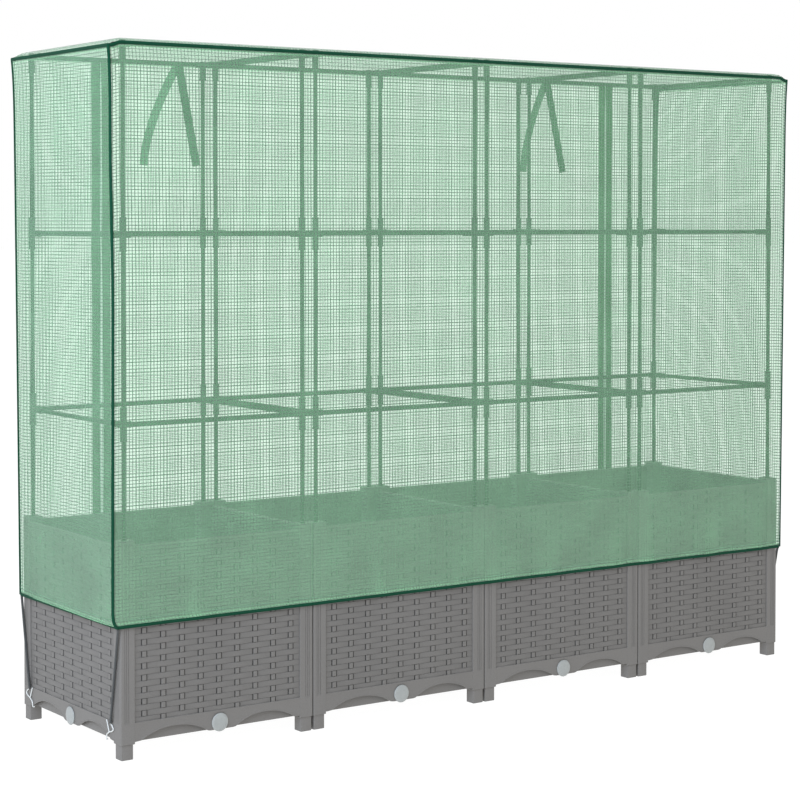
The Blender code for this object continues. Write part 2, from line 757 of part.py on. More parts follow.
def door_tie(x):
    """A pair of straps at the head of the door: one leg hangs outside the door and one inside."""
    steps = 6
    top = DOOR_TOP + CLEARANCE
    outer_line, inner_line = [], []
    for i in range(steps + 1):
        down = i / steps
        bend = 1 - (1 - down) ** TIE_BEND_POWER
        z = top + TIE_BRIDGE - TIE_LENGTH * down
        outer_line.append((x - TIE_LEG_OUT * bend, z))
        inner_line.append((x + TIE_LEG_IN * down, z))
    room = BINDING_RADIUS + 4 * CLEARANCE
    stand = Matrix.Rotation(math.pi / 2, 4, "X")
    outside = slab(
        strip_outline(outer_line, TIE_WIDTH),
        -(COVER_HALF_Y + room + TIE_THICKNESS),
        -(COVER_HALF_Y + room),
        stand,
    )
    inside = slab(
        strip_outline(inner_line, TIE_WIDTH),
        -(COVER_HALF_Y - room),
        -(COVER_HALF_Y - room - TIE_THICKNESS),
        stand,
    )
    bridge = box(
        (x - TIE_WIDTH / 2, COVER_HALF_Y - room - TIE_THICKNESS, top),
        (x + TIE_WIDTH / 2, COVER_HALF_Y + room + TIE_THICKNESS, top + TIE_BRIDGE),
    )
    return fused([("UNION", bridge), ("UNION", outside), ("UNION", inside)])


def row_name(y_sign):
    """The name of the row's side."""
    return "front" if y_sign < 0 else "rear"


def cord_top(x_sign, y_sign):
    """Where a cord is tied on: the middle of the hem's tape, near the corner."""
    y = y_sign * (COVER_HALF_Y - CORD_TOP_FROM_CORNER[row_name(y_sign)])
    return Vector((x_sign * cover_half_x(HEM_HEIGHT), y, HEM_HEIGHT))


def elastic_cord(x_sign, y_sign):
    """A stretched elastic cord from the hem down to the eye of its hook."""
    tied = cord_top(x_sign, y_sign)
    outside = x_sign * (ROW_HALF_LENGTH + CORD_RADIUS + CORD_OUTSIDE)
    y = y_sign * HOOK_FROM_MIDDLE[row_name(y_sign)]
    end = Vector((outside, y, HOOK_EYE + HOOK_WIRE + CLEARANCE))
    run = (end - tied).normalized()
    start = tied + run * (BINDING_RADIUS + 2 * CLEARANCE)
    steps = 6
    path = [start.lerp(end, i / steps) for i in range(steps + 1)]
    return tube([tuple(point) for point in path], CORD_RADIUS, resolution=2)


def cord_hook(x_sign, y_sign):
    """A bent wire hook: a curl that holds the cord, a prong, a shank and a foot under the base tray."""
    x = x_sign * (ROW_HALF_LENGTH + HOOK_OUTSIDE + HOOK_WIRE)
    middle = HOOK_FROM_MIDDLE[row_name(y_sign)]
    foot_z = FOOT_HEIGHT - HOOK_WIRE - HOOK_GAP
    tray_edge = ROW_HALF_LENGTH - APRON_RECESS - APRON_WALL - CLEARANCE - BASE_SETBACK
    foot_x = x_sign * (tray_edge - HOOK_FOOT_REACH)
    foot_y = y_sign * (middle - HOOK_FOOT_IN)

    def on_line(outwards, z):
        return (x, y_sign * (middle + outwards), z)

    half_curl = (HOOK_EYE + HOOK_CURL_HEIGHT) / 2
    shank = [
        on_line(0.0, HOOK_EYE),
        on_line(HOOK_CURL_OUT * 0.75, half_curl + HOOK_WIRE),
        on_line(HOOK_CURL_OUT, HOOK_CURL_HEIGHT),
        on_line(HOOK_CURL_OUT * 0.5, HOOK_JUNCTION + HOOK_WIRE),
        on_line(-HOOK_JUNCTION_IN, HOOK_JUNCTION),
        (x, foot_y, foot_z + HOOK_FOOT_RISE),
        (x, foot_y, foot_z),
        (foot_x, foot_y, foot_z),
    ]
    prong = [
        on_line(-HOOK_JUNCTION_IN - HOOK_WIRE / 2, HOOK_JUNCTION - HOOK_WIRE / 2),
        on_line(-(HOOK_JUNCTION_IN + HOOK_PRONG_IN) / 2, HOOK_CURL_HEIGHT),
        on_line(-HOOK_PRONG_IN, HOOK_PRONG_TOP),
    ]
    pieces = [tube(shank, HOOK_WIRE, resolution=2), tube(prong, HOOK_WIRE * 0.97, resolution=2)]
    return fused([("UNION", piece) for piece in pieces])


def build_planters(builder):
    """Four shells, four bases and the drain plugs on the row's outer sides."""
    shell, base = planter_shell(), planter_base()
    for bay in range(BAYS):
        centre = (bay_centre(bay), 0, 0)
        builder.place(f"planter_shell_{bay + 1}", shell, "planter_plastic", centre)
        builder.place(f"planter_base_{bay + 1}", base, "planter_plastic", centre)
    plug = drain_plug()
    sides = []
    for bay in range(BAYS):
        sides.append((f"drain_plug_{bay + 1}_front", bay_centre(bay), -HALF_PLAN, 0))
        sides.append((f"drain_plug_{bay + 1}_rear", bay_centre(bay), HALF_PLAN, 2))
    sides.append(("drain_plug_left_end", -ROW_HALF_LENGTH, 0, 3))
    sides.append(("drain_plug_right_end", ROW_HALF_LENGTH, 0, 1))
    for name, x, y, quarter in sides:
        builder.place(name, turned(plug, quarter), "plug_plastic", (x, y, PLUG_HEIGHT))


def build_trellis(builder):
    """Sixteen posts and the three grids of rails that slide over them."""
    for name, x, y in post_places():
        post = rod((0, 0, POST_BOTTOM), (0, 0, POST_TOP), TUBE_RADIUS)
        builder.place(name, post, "trellis_plastic", (x, y, 0))
    for name, level in RAIL_LEVELS.items():
        builder.place(f"rail_grid_{name}", rail_grid(level), "trellis_plastic")


def build_cover(builder):
    """The fixed panels of the cover and the tape round their edges."""

    def left_edge(z):
        return -cover_half_x(z) + SHEET_EDGE

    def right_edge(z):
        return cover_half_x(z) - SHEET_EDGE

    def left_tape(z):
        return -(ZIP_LINE + ZIP_TAPE_WIDTH + CLEARANCE)

    def right_tape(z):
        return ZIP_LINE + ZIP_TAPE_WIDTH + CLEARANCE

    ends, plain = SEAM_RUNS, [0.0]
    panels = {
        "cover_front": long_panel(-1, left_edge, right_edge, ends, ends, 12),
        "cover_rear_left": long_panel(1, left_edge, left_tape, ends, plain, 2),
        "cover_rear_right": long_panel(1, right_tape, right_edge, plain, ends, 2),
        "cover_left_end": end_panel(-1),
        "cover_right_end": end_panel(1),
        "cover_top": top_sheet(),
    }
    for name, mesh in panels.items():
        builder.place(name, mesh, "net_film")
    builder.place("cover_binding", cover_binding(), "binding_tape")


def build_door(builder):
    """The roll-up door with its hem, zips and ties."""
    edge = ZIP_LINE - ZIP_SPLIT / 2
    plain = [0.0]
    panel = long_panel(
        1, lambda z: -edge, lambda z: edge, plain, plain, 12, drop=DOOR_TOP_DROP
    )
    builder.place("door_panel", panel, "net_film")
    pivot = (0, COVER_HALF_Y, HEM_HEIGHT)
    hem_edge = edge - CLEARANCE
    hem = tube(
        [(-hem_edge, COVER_HALF_Y, HEM_HEIGHT), (hem_edge, COVER_HALF_Y, HEM_HEIGHT)],
        BINDING_RADIUS,
    )
    builder.place_about("door_hem", hem, "binding_tape", pivot)
    for side, x_sign in (("left", -1), ("right", 1)):
        builder.place(f"zip_tape_{side}", zip_tape(x_sign), "zip_tape")
        pivot = (x_sign * ZIP_LINE, COVER_HALF_Y, HEM_HEIGHT)
        builder.place_about(f"zip_slider_{side}", zip_slider(x_sign), "plug_plastic", pivot)
        builder.place(f"door_tie_{side}", door_tie(x_sign * TIE_X), "zip_tape")


def build_cords(builder):
    """An elastic cord and its hook at each corner of the row's two ends."""
    for side, x_sign in (("left", -1), ("right", 1)):
        for row, y_sign in (("front", -1), ("rear", 1)):
            pivot = cord_top(x_sign, y_sign)
            cord = elastic_cord(x_sign, y_sign)
            hook = cord_hook(x_sign, y_sign)
            builder.place_about(f"elastic_cord_{side}_{row}", cord, "elastic_cord", pivot)
            builder.place_about(f"cord_hook_{side}_{row}", hook, "hook_wire", pivot)


def shade_round_pieces(builder):
    """Smooth shading on the round pieces, with their real edges kept sharp."""
    for obj in builder.collection.objects:
        obj.data.shade_smooth()
        obj.data.set_sharp_from_angle(angle=math.radians(50))


def main():
    clear_scene()
    builder = Builder()
    build_planters(builder)
    build_trellis(builder)
    build_cover(builder)
    build_door(builder)
    build_cords(builder)
    shade_round_pieces(builder)


main()
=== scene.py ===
"""Looks of the covered raised planter: wickerwork tubs, a tube trellis and a green net cover.

Units are metres and +Z is up. The origin is on the floor under the middle of the row, which runs
along X. The plain side of the cover faces -Y and its roll-up door faces +Y. A value whose name ends
in _mm is in millimetres.
"""

from __future__ import annotations

import logging
import math
from dataclasses import dataclass, field, replace
from enum import Enum
from typing import Callable, Iterator, Sequence

import bpy
import numpy as np
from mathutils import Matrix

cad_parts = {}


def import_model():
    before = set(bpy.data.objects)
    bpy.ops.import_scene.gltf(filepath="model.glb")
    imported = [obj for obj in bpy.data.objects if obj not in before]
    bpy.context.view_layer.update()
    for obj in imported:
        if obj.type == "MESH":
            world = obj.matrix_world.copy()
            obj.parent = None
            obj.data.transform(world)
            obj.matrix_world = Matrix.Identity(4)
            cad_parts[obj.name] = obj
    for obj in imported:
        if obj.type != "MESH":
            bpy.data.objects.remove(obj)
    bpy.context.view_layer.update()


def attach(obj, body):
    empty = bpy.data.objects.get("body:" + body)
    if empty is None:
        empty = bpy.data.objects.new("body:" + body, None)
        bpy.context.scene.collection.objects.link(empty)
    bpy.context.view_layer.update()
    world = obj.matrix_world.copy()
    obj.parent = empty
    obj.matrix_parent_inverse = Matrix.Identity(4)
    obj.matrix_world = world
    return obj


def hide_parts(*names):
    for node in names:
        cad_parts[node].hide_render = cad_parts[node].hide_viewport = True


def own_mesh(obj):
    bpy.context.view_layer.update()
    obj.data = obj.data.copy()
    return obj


Array = np.ndarray
Numbers = Sequence[float]
Place = Callable[[Array, Array], Array]
Tree, Socket = bpy.types.NodeTree, bpy.types.NodeSocket
Material, Object = bpy.types.Material, bpy.types.Object

log = logging.getLogger("covered_raised_planter")
MM = 0.001
SMOOTH_ANGLE = math.radians(38)
ROOT = "planter_row"


class Side(Enum):
    """A named place whose value is a sign or a height."""

    @property
    def tag(self) -> str:
        """The name as the solids' names have it."""
        return self.name.lower()


class Face(Side):
    """The two long sides of the row, with the sign of Y."""

    FRONT = -1
    REAR = 1


class End(Side):
    """The two short ends of the row, with the sign of X."""

    LEFT = -1
    RIGHT = 1


class Level(Side):
    """The three rail levels of the trellis, with their heights."""

    LOWER = 0.590
    MIDDLE = 0.924
    TOP = 1.258


# Numbers and surfaces


def soft_step(t: Array | float) -> Array:
    """0 to 1 with a level start and end: t squared times three less two t, for t held from 0 to 1."""
    held = np.clip(t, 0.0, 1.0)
    return held * held * (3 - 2 * held)


def unit(vectors: Array) -> Array:
    """The same vectors with length one."""
    return vectors / np.maximum(np.linalg.norm(vectors, axis=-1, keepdims=True), 1e-12)


def circle(angle: Array) -> Array:
    """Places on the unit circle: the cosine and the sine of each angle."""
    return np.stack([np.cos(angle), np.sin(angle)], axis=-1)


def linear(hex_colour: str) -> tuple[float, float, float, float]:
    """An sRGB hex colour as linear red, green, blue and an alpha of one."""
    parts = [int(hex_colour[i : i + 2], 16) / 255 for i in (1, 3, 5)]
    return (*(p / 12.92 if p <= 0.04045 else ((p + 0.055) / 1.055) ** 2.4 for p in parts), 1.0)


@dataclass
class Patch:
    """A piece of surface.

    faces holds four corners a row, with -1 for the last one of a triangle. uv has one pair for each
    corner of each face, and relief one value for each point: painted light and shade, from 0 where
    shade is painted in hollows to 1 on lit crests.
    """

    points: Array
    faces: Array
    uv: Array
    relief: Array
    slot: int = 0

    def flipped(self) -> Patch:
        """The same surface with every face turned round.

        Returns:
            The turned patch.
        """
        faces, uv = self.faces[:, [0, 3, 2, 1]], self.uv[:, [0, 3, 2, 1]]
        flat = self.faces[:, 3] < 0
        faces[flat] = self.faces[flat][:, [0, 2, 1, 3]]
        uv[flat] = self.uv[flat][:, [0, 2, 1, 3]]
        return replace(self, faces=faces, uv=uv)

    def outward(self) -> Patch:
        """The same closed surface with its faces pointing out, by the sign of its volume.

        Returns:
            The patch, flipped where its volume is negative.
        """
        local = self.points - self.points.mean(axis=0)
        a, b, c = (local[self.faces[:, i]] for i in range(3))
        last = np.where(self.faces[:, 3] < 0, self.faces[:, 2], self.faces[:, 3])
        volume = (a * np.cross(b, c)).sum() + (a * np.cross(c, local[last])).sum()
        return self if volume > 0 else self.flipped()

    def facing(self, direction: Numbers) -> Patch:
        """The same open surface with its faces pointing towards direction on the whole."""
        a, b, c = (self.points[self.faces[:, i]] for i in range(3))
        return self if np.cross(b - a, c - a).sum(axis=0) @ np.array(direction) > 0 else self.flipped()

    def moved(self, shift: Numbers, quarter: int = 0) -> Patch:
        """A copy turned about Z by quarter turns and then shifted.

        Args:
            shift: The shift, after the turn.
            quarter: How many quarter turns, anticlockwise.

        Returns:
            The copy.
        """
        cos, sin = [(1, 0), (0, 1), (-1, 0), (0, -1)][quarter % 4]
        turn = np.array([[cos, -sin, 0], [sin, cos, 0], [0, 0, 1]], float)
        return replace(self, points=self.points @ turn.T + np.array(shift, float))


def grid_patch(
    points: Array,
    u: Array | None = None,
    v: Array | None = None,
    wrap_rows: bool = False,
    wrap_columns: bool = False,
    relief: Array | None = None,
    slot: int = 0,
) -> Patch:
    """Joins a grid of points by four-sided faces.

    Args:
        points: Places, rows by columns by 3.
        u: The UV map's first value for each column, with one more where the columns wrap.
        v: The UV map's second value for each row, with one more where the rows wrap.
        wrap_rows: Whether the last row joins the first.
        wrap_columns: Whether the last column joins the first.
        relief: A value for each point, or None for 1 everywhere.
        slot: The material slot of the faces.

    Returns:
        The patch.
    """
    rows, columns = points.shape[:2]
    row_steps, column_steps = rows - (not wrap_rows), columns - (not wrap_columns)
    r, c = (g.ravel() for g in np.meshgrid(np.arange(row_steps), np.arange(column_steps), indexing="ij"))
    u = np.arange(column_steps + 1, dtype=float) if u is None else np.asarray(u, float)
    v = np.arange(row_steps + 1, dtype=float) if v is None else np.asarray(v, float)
    corners = ((0, 0), (0, 1), (1, 1), (1, 0))
    faces = [((r + down) % rows) * columns + (c + across) % columns for down, across in corners]
    uv = [np.stack([u[c + across], v[r + down]], axis=-1) for down, across in corners]
    values = np.ones(rows * columns) if relief is None else np.asarray(relief, float).ravel()
    return Patch(points.reshape(-1, 3), np.stack(faces, axis=-1), np.stack(uv, axis=1), values, slot)


def loft(
    rings: Array, u: Array | None = None, v: Array | None = None, relief: Array | None = None, slot: int = 0
) -> Patch:
    """Joins closed rings in order and closes both ends with a fan round the ring's middle.

    Args:
        rings: Places, rings by points by 3.
        u: UV values round a ring, one more than its points.
        v: UV values along the rings.
        relief: A value for each point.
        slot: The material slot of the faces.

    Returns:
        A closed patch whose faces point outwards.
    """
    side = grid_patch(rings, u, v, wrap_columns=True, relief=relief, slot=slot)
    count, size = rings.shape[:2]
    step, none = np.arange(size), np.full(size, -1)
    after, last, middle = (step + 1) % size, (count - 1) * size, count * size
    first_fan = np.stack([none + middle + 1, after, step, none], axis=-1)
    last_fan = np.stack([none + middle + 2, last + step, last + after, none], axis=-1)
    points = np.concatenate([side.points, [rings[0].mean(axis=0), rings[-1].mean(axis=0)]])
    uv = np.concatenate([side.uv, np.zeros((2 * size, 4, 2))])
    ends = side.relief.reshape(count, size)
    values = np.concatenate([side.relief, [ends[0].mean(), ends[-1].mean()]])
    return Patch(points, np.concatenate([side.faces, first_fan, last_fan]), uv, values, slot).outward()


def sweep(
    path: Array,
    profile: Array,
    across: Numbers | Array,
    closed: bool = False,
    scale: Array | None = None,
    slot: int = 0,
) -> Patch:
    """Carries a closed profile along a path.

    At each point of the path the profile's first axis is across, made square to the path, and its
    second axis is square to both. The UV map runs in metres round the profile and along the path.

    Args:
        path: Places, n by 3.
        profile: Places in the section, m by 2.
        across: The direction of the profile's first axis, one for all or one for each point.
        closed: Whether the path's end joins its start.
        scale: How large the profile is at each point of the path.
        slot: The material slot of the faces.

    Returns:
        A closed patch.
    """
    run = unit(np.roll(path, -1, axis=0) - np.roll(path, 1, axis=0) if closed else np.gradient(path, axis=0))
    first = np.broadcast_to(np.asarray(across, float), path.shape)
    first = unit(first - (first * run).sum(axis=1, keepdims=True) * run)
    size = np.ones(len(path)) if scale is None else scale
    offset = profile[None] * size[:, None, None]
    rings = path[:, None] + offset[..., :1] * first[:, None] + offset[..., 1:] * np.cross(run, first)[:, None]
    lines = (np.concatenate([profile, profile[:1]]), np.concatenate([path, path[:1]]) if closed else path)
    u, v = (np.concatenate([[0], np.cumsum(np.linalg.norm(np.diff(line, axis=0), axis=1))]) for line in lines)
    if closed:
        return grid_patch(rings, u, v, wrap_rows=True, wrap_columns=True, slot=slot).outward()
    return loft(rings, u, v, slot=slot)


def round_profile(width: float, depth: float, sides: int) -> Array:
    """An ellipse: half the width times the cosine, and half the depth times the sine, of even angles."""
    return np.array([width / 2, depth / 2]) * circle(2 * np.pi * np.arange(sides) / sides)


def soft_rectangle(width: float, depth: float, rounding: float, steps: int = 3) -> Array:
    """A rectangle about the middle whose corners are quarter circles.

    Args:
        width: Its size along the first axis.
        depth: Its size along the second axis.
        rounding: The corners' radius.
        steps: Faces in each corner.

    Returns:
        Places, anticlockwise, 4 * (steps + 1) by 2.
    """
    centre = np.array([width / 2 - rounding, depth / 2 - rounding])
    signs = np.repeat([[1, 1], [-1, 1], [-1, -1], [1, -1]], steps + 1, axis=0)
    turn = np.repeat(np.arange(4) * np.pi / 2, steps + 1)
    return signs * centre + rounding * circle(turn + np.tile(np.linspace(0, np.pi / 2, steps + 1), 4))


def eased(points: Sequence[Numbers], reach: float | Array, closed: bool = False, steps: int = 5) -> Array:
    """A line whose corners are quadratic curves that begin and end a given way from the corner.

    Args:
        points: The corners, in order.
        reach: How far from a corner its curve begins, one for all or one for each corner in a column.
        closed: Whether the line's end joins its start.
        steps: Faces in each curve.

    Returns:
        Places, n by 3.
    """
    corners = np.asarray(points, float)
    start = corners + unit(np.roll(corners, 1, axis=0) - corners) * reach
    end = corners + unit(np.roll(corners, -1, axis=0) - corners) * reach
    t = np.linspace(0, 1, steps + 1)[:, None]
    curves = [(1 - t) ** 2 * s + 2 * t * (1 - t) * c + t**2 * e for s, c, e in zip(start, corners, end)]
    return np.concatenate(curves if closed else [corners[:1], *curves[1:-1], corners[-1:]])


def spaced(path: Array, step: float) -> Array:
    """A line through the same places with extra points, so that none are further apart than step.

    Args:
        path: The line's places, n by 3.
        step: The widest spacing.

    Returns:
        The line with the extra places.
    """
    parts = []
    for a, b in zip(path, path[1:]):
        count = max(1, math.ceil(np.linalg.norm(b - a) / step))
        parts.append(a + (b - a) * np.arange(count)[:, None] / count)
    return np.concatenate([*parts, path[-1:]])


def turned_patch(profile: Array, centre: Numbers, axis: Numbers, sides: int) -> Patch:
    """Turns a profile of (radius, height) about an axis through centre.

    Args:
        profile: Radius and height along the axis, n by 2; both ends are on or near the axis.
        centre: Where height 0 is.
        axis: The direction of growing height.
        sides: Faces round the axis.

    Returns:
        A closed patch.
    """
    way = unit(np.asarray(axis, float))
    side = unit(np.cross(way, [0.31, 0.17, 0.93]))
    spoke = circle(2 * np.pi * np.arange(sides) / sides) @ np.stack([side, np.cross(way, side)])
    return loft(np.asarray(centre, float) + profile[:, None, :1] * spoke[None] + profile[:, None, 1:] * way)


def block(low: Numbers, high: Numbers, rounding: float) -> Patch:
    """A block between two corners, with rounded upright edges and softened top and bottom edges.

    Args:
        low: The corner with the lowest values.
        high: The corner with the highest values.
        rounding: The upright edges' radius.

    Returns:
        A closed patch.
    """
    low, high = np.asarray(low, float), np.asarray(high, float)
    size, middle = high - low, (low + high) / 2
    inset = rounding * 0.6
    drop = np.array([0.0, 0.3, 1.0]) * inset
    heights = np.concatenate([low[2] + drop, high[2] - drop[::-1]])
    shrink = np.concatenate([(inset - drop), (inset - drop)[::-1]])
    share = 1 - shrink[:, None] * 2 / size[None, :2]
    plan = soft_rectangle(size[0], size[1], rounding)[None] * share[:, None] + middle[:2]
    z = np.broadcast_to(heights[:, None, None], (*plan.shape[:2], 1))
    return loft(np.concatenate([plan, z], axis=-1))


def object_of(name: str, patches: Sequence[Patch], finishes: Sequence[Material]) -> Object:
    """Makes one object at the origin from patches.

    Args:
        name: The object's name.
        patches: What it is made of.
        finishes: The materials, in the order of the patches' slots.

    Returns:
        The object, linked to the scene.
    """
    offsets = np.cumsum([0] + [len(p.points) for p in patches[:-1]])
    points = np.concatenate([p.points for p in patches])
    faces = np.concatenate([np.where(p.faces >= 0, p.faces + o, -1) for p, o in zip(patches, offsets)])
    uv = np.concatenate([p.uv for p in patches])
    slots = np.concatenate([np.full(len(p.faces), p.slot) for p in patches])
    used = faces >= 0
    sizes = used.sum(axis=1)
    mesh = bpy.data.meshes.new(name)
    mesh.vertices.add(len(points))
    mesh.vertices.foreach_set("co", points.astype(np.float32).ravel())
    mesh.loops.add(int(sizes.sum()))
    mesh.loops.foreach_set("vertex_index", faces[used].astype(np.int32))
    mesh.polygons.add(len(faces))
    mesh.polygons.foreach_set("loop_start", np.concatenate([[0], np.cumsum(sizes)[:-1]]).astype(np.int32))
    mesh.polygons.foreach_set("material_index", slots.astype(np.int32))
    mesh.uv_layers.new(name="surface").data.foreach_set("uv", uv[used].astype(np.float32).ravel())
    # The relief attribute holds painted light and shade, for the finishes to turn into colour.
    relief = mesh.attributes.new("relief", "FLOAT", "POINT")
    relief.data.foreach_set("value", np.concatenate([p.relief for p in patches]).astype(np.float32))
    mesh.update(calc_edges=True)
    mesh.validate()
    mesh.shade_smooth()
    mesh.set_sharp_from_angle(angle=SMOOTH_ANGLE)
    for finish in finishes:
        mesh.materials.append(finish)
    obj = bpy.data.objects.new(name, mesh)
    bpy.context.scene.collection.objects.link(obj)
    return obj


def dress_piece(obj: Object, nodes: Sequence[str] = (), body: str = ROOT) -> None:
    """Lets an object ride on a body, and hides the solids that it stands for.

    Args:
        obj: The piece.
        nodes: The solids that it stands for.
        body: The body that it moves with.
    """
    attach(obj, body)
    if nodes:
        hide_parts(*nodes)
    log.info("%s: %d faces on %s", obj.name, len(obj.data.polygons), body)


def add_piece(
    name: str,
    patches: Sequence[Patch],
    finishes: Sequence[Material],
    nodes: Sequence[str] = (),
    body: str = ROOT,
) -> Object:
    """Makes a piece of the object and lets it ride on a body.

    Args:
        name: The piece's name.
        patches: Its surfaces.
        finishes: Its materials.
        nodes: The solids that it stands for.
        body: The body that it moves with.

    Returns:
        The object.
    """
    obj = object_of(name, patches, finishes)
    dress_piece(obj, nodes, body)
    return obj


# Finishes


def fill(tree: Tree, node: bpy.types.Node, inputs: dict) -> None:
    """Gives a node's sockets their values or links.

    Args:
        tree: The material's nodes.
        node: The node.
        inputs: For a socket's name or number, its value or the socket that it is linked from.
    """
    for key, value in inputs.items():
        if isinstance(value, Socket):
            tree.links.new(value, node.inputs[key])
        else:
            node.inputs[key].default_value = value


def add(tree: Tree, kind: str, inputs: dict | None = None, out: int | str = 0, **settings) -> Socket:
    """Adds one node to a material.

    Args:
        tree: The material's nodes.
        kind: The node's type, without its leading "ShaderNode".
        inputs: For a socket's name or number, its value or the socket that it is linked from.
        out: The name or number of the output that is wanted.
        settings: The node's own settings.

    Returns:
        That output.
    """
    node = tree.nodes.new("ShaderNode" + kind)
    for name, value in settings.items():
        setattr(node, name, value)
    fill(tree, node, inputs or {})
    return node.outputs[out]


def shaded(tree: Tree, colour: str, pattern: Socket, low: float, high: float) -> Socket:
    """A colour that a pattern makes darker and lighter.

    Args:
        tree: The material's nodes.
        colour: The colour in the middle.
        pattern: A value about 0.5, whose range from 0.3 to 0.7 is used.
        low: The brightness at 0.3.
        high: The brightness at 0.7.

    Returns:
        The changed colour.
    """
    tint = add(tree, "MapRange", {0: pattern, 1: 0.3, 2: 0.7, 3: low, 4: high})
    return add(tree, "VectorMath", {0: linear(colour)[:3], 3: tint}, operation="SCALE")


@dataclass(frozen=True)
class Finish:
    """A material: a few patterns that feed one Principled shader."""

    name: str

    def sockets(self, tree: Tree) -> dict:
        """The shader's values and links."""
        raise NotImplementedError

    def make(self) -> Material:
        """The material itself.

        Returns:
            The material.
        """
        material = bpy.data.materials.new(self.name)
        material.use_nodes = True
        tree = material.node_tree
        fill(tree, tree.nodes["Principled BSDF"], self.sockets(tree))
        return material


@dataclass(frozen=True)
class MouldedPolypropylene(Finish):
    """Grey polypropylene, injection moulded in a tool with an etched grain: satin, with soft edges."""

    name: str = "moulded polypropylene"
    crest: str = "#767471"
    # The second colour is painted shade, laid where the relief attribute is 0: in the weave's gaps, slots and on the
    # stakes' sides.
    hollow_shade: str = "#5B5A58"
    roughness: float = 0.52
    grain_mm: float = 1.6  # the etched grain is finer, and is drawn as coarse as it shows
    grain_depth_mm: float = 0.05
    paints_shade: bool = True

    def sockets(self, tree: Tree) -> dict:
        """Hollows are darker: painted shade, which the relief attribute mixes in from the darker colour.

        Args:
            tree: The material's nodes.

        Returns:
            The shader's inputs.
        """
        place = add(tree, "TexCoord", out="Object")
        grain = add(tree, "TexNoise", {"Vector": place, "Scale": 1000 / self.grain_mm, "Detail": 3.0})
        cloud = add(tree, "TexNoise", {"Vector": place, "Scale": 9.0, "Detail": 2.0})
        base: Socket | tuple = linear(self.crest)[:3]
        # Painted light and shade: relief 0 gives the darker colour, relief 1 the crest colour.
        if self.paints_shade:
            relief = add(tree, "Attribute", out="Fac", attribute_name="relief")
            base = add(tree, "Mix", {0: relief, 6: linear(self.hollow_shade), 7: linear(self.crest)}, 2, data_type="RGBA")
        speckle = add(tree, "MapRange", {0: grain, 1: 0.3, 2: 0.7, 3: 0.93, 4: 1.07})
        drift = add(tree, "MapRange", {0: cloud, 1: 0.3, 2: 0.7, 3: 0.97, 4: 1.03})
        both = add(tree, "Math", {0: speckle, 1: drift}, operation="MULTIPLY")
        low, high = self.roughness - 0.05, self.roughness + 0.08
        return {
            "Base Color": add(tree, "VectorMath", {0: base, 3: both}, operation="SCALE"),
            "Roughness": add(tree, "MapRange", {0: grain, 1: 0.3, 2: 0.7, 3: low, 4: high}),
            "Normal": add(tree, "Bump", {"Height": grain, "Strength": 0.5, "Distance": self.grain_depth_mm * MM}),
            "IOR": 1.49,
            "Specular IOR Level": 0.4,
        }


@dataclass(frozen=True)
class SoftPolyethylene(Finish):
    """Pale soft LDPE, moulded: a waxy face that lets a little light in."""

    name: str = "soft moulded polyethylene"
    colour: str = "#A0A4A2"

    def sockets(self, tree: Tree) -> dict:
        """Faint turning marks and a little light below the surface.

        Args:
            tree: The material's nodes.

        Returns:
            The shader's inputs.
        """
        place = add(tree, "TexCoord", out="Object")
        cloud = add(tree, "TexNoise", {"Vector": place, "Scale": 240.0, "Detail": 4.0})
        return {
            "Base Color": shaded(tree, self.colour, cloud, 0.95, 1.04),
            "Roughness": 0.42,
            "Subsurface Weight": 0.15,
            "Subsurface Radius": (1.0, 1.0, 1.0),
            "Subsurface Scale": 0.002,
            "Normal": add(tree, "Bump", {"Height": cloud, "Strength": 0.4, "Distance": 0.00006}),
            "IOR": 1.51,
        }


@dataclass(frozen=True)
class ExtrudedTube(Finish):
    """Dark green-grey tube, extruded: satin, with fine lines along its run."""

    name: str = "extruded tube"
    colour: str = "#1D221E"

    def sockets(self, tree: Tree) -> dict:
        """The UV map's first value goes round the tube, so that its lines run along it.

        Args:
            tree: The material's nodes.

        Returns:
            The shader's inputs.
        """
        stretched = add(tree, "Mapping", {0: add(tree, "UVMap", uv_map="surface"), 3: (1800.0, 8.0, 1.0)})
        lines = add(tree, "TexNoise", {"Vector": stretched, "Scale": 1.0, "Detail": 2.0})
        return {
            "Base Color": shaded(tree, self.colour, lines, 0.9, 1.1),
            "Roughness": 0.58,
            "Normal": add(tree, "Bump", {"Height": lines, "Strength": 0.4, "Distance": 0.00008}),
            "IOR": 1.49,
            "Specular IOR Level": 0.10,
        }


@dataclass(frozen=True)
class LaminatedFilm(Finish):
    """Clear green polyethylene film, laminated: it lets most light through and is softly creased."""

    name: str = "laminated polyethylene film"
    colour: str = "#B6FFC8"
    cover: float = 0.280
    cover_change: float = 0.04
    crease_mm: float = 14.0

    def sockets(self, tree: Tree) -> dict:
        """The alpha is how much of the light the film stops, and drifts in soft clouds.

        Args:
            tree: The material's nodes.

        Returns:
            The shader's inputs.
        """
        place = add(tree, "TexCoord", out="Object")
        cloud = add(tree, "TexNoise", {"Vector": place, "Scale": 14.0, "Detail": 3.0})
        crease = add(tree, "TexNoise", {"Vector": place, "Scale": 1000 / self.crease_mm, "Detail": 5.0})
        low, high = self.cover - self.cover_change, self.cover + self.cover_change
        return {
            "Base Color": linear(self.colour),
            "Alpha": add(tree, "MapRange", {0: cloud, 1: 0.3, 2: 0.7, 3: low, 4: high}),
            "Roughness": 0.36,
            "Normal": add(tree, "Bump", {"Height": crease, "Strength": 0.6, "Distance": 0.0007}),
            "IOR": 1.5,
            "Specular IOR Level": 0.5,
        }


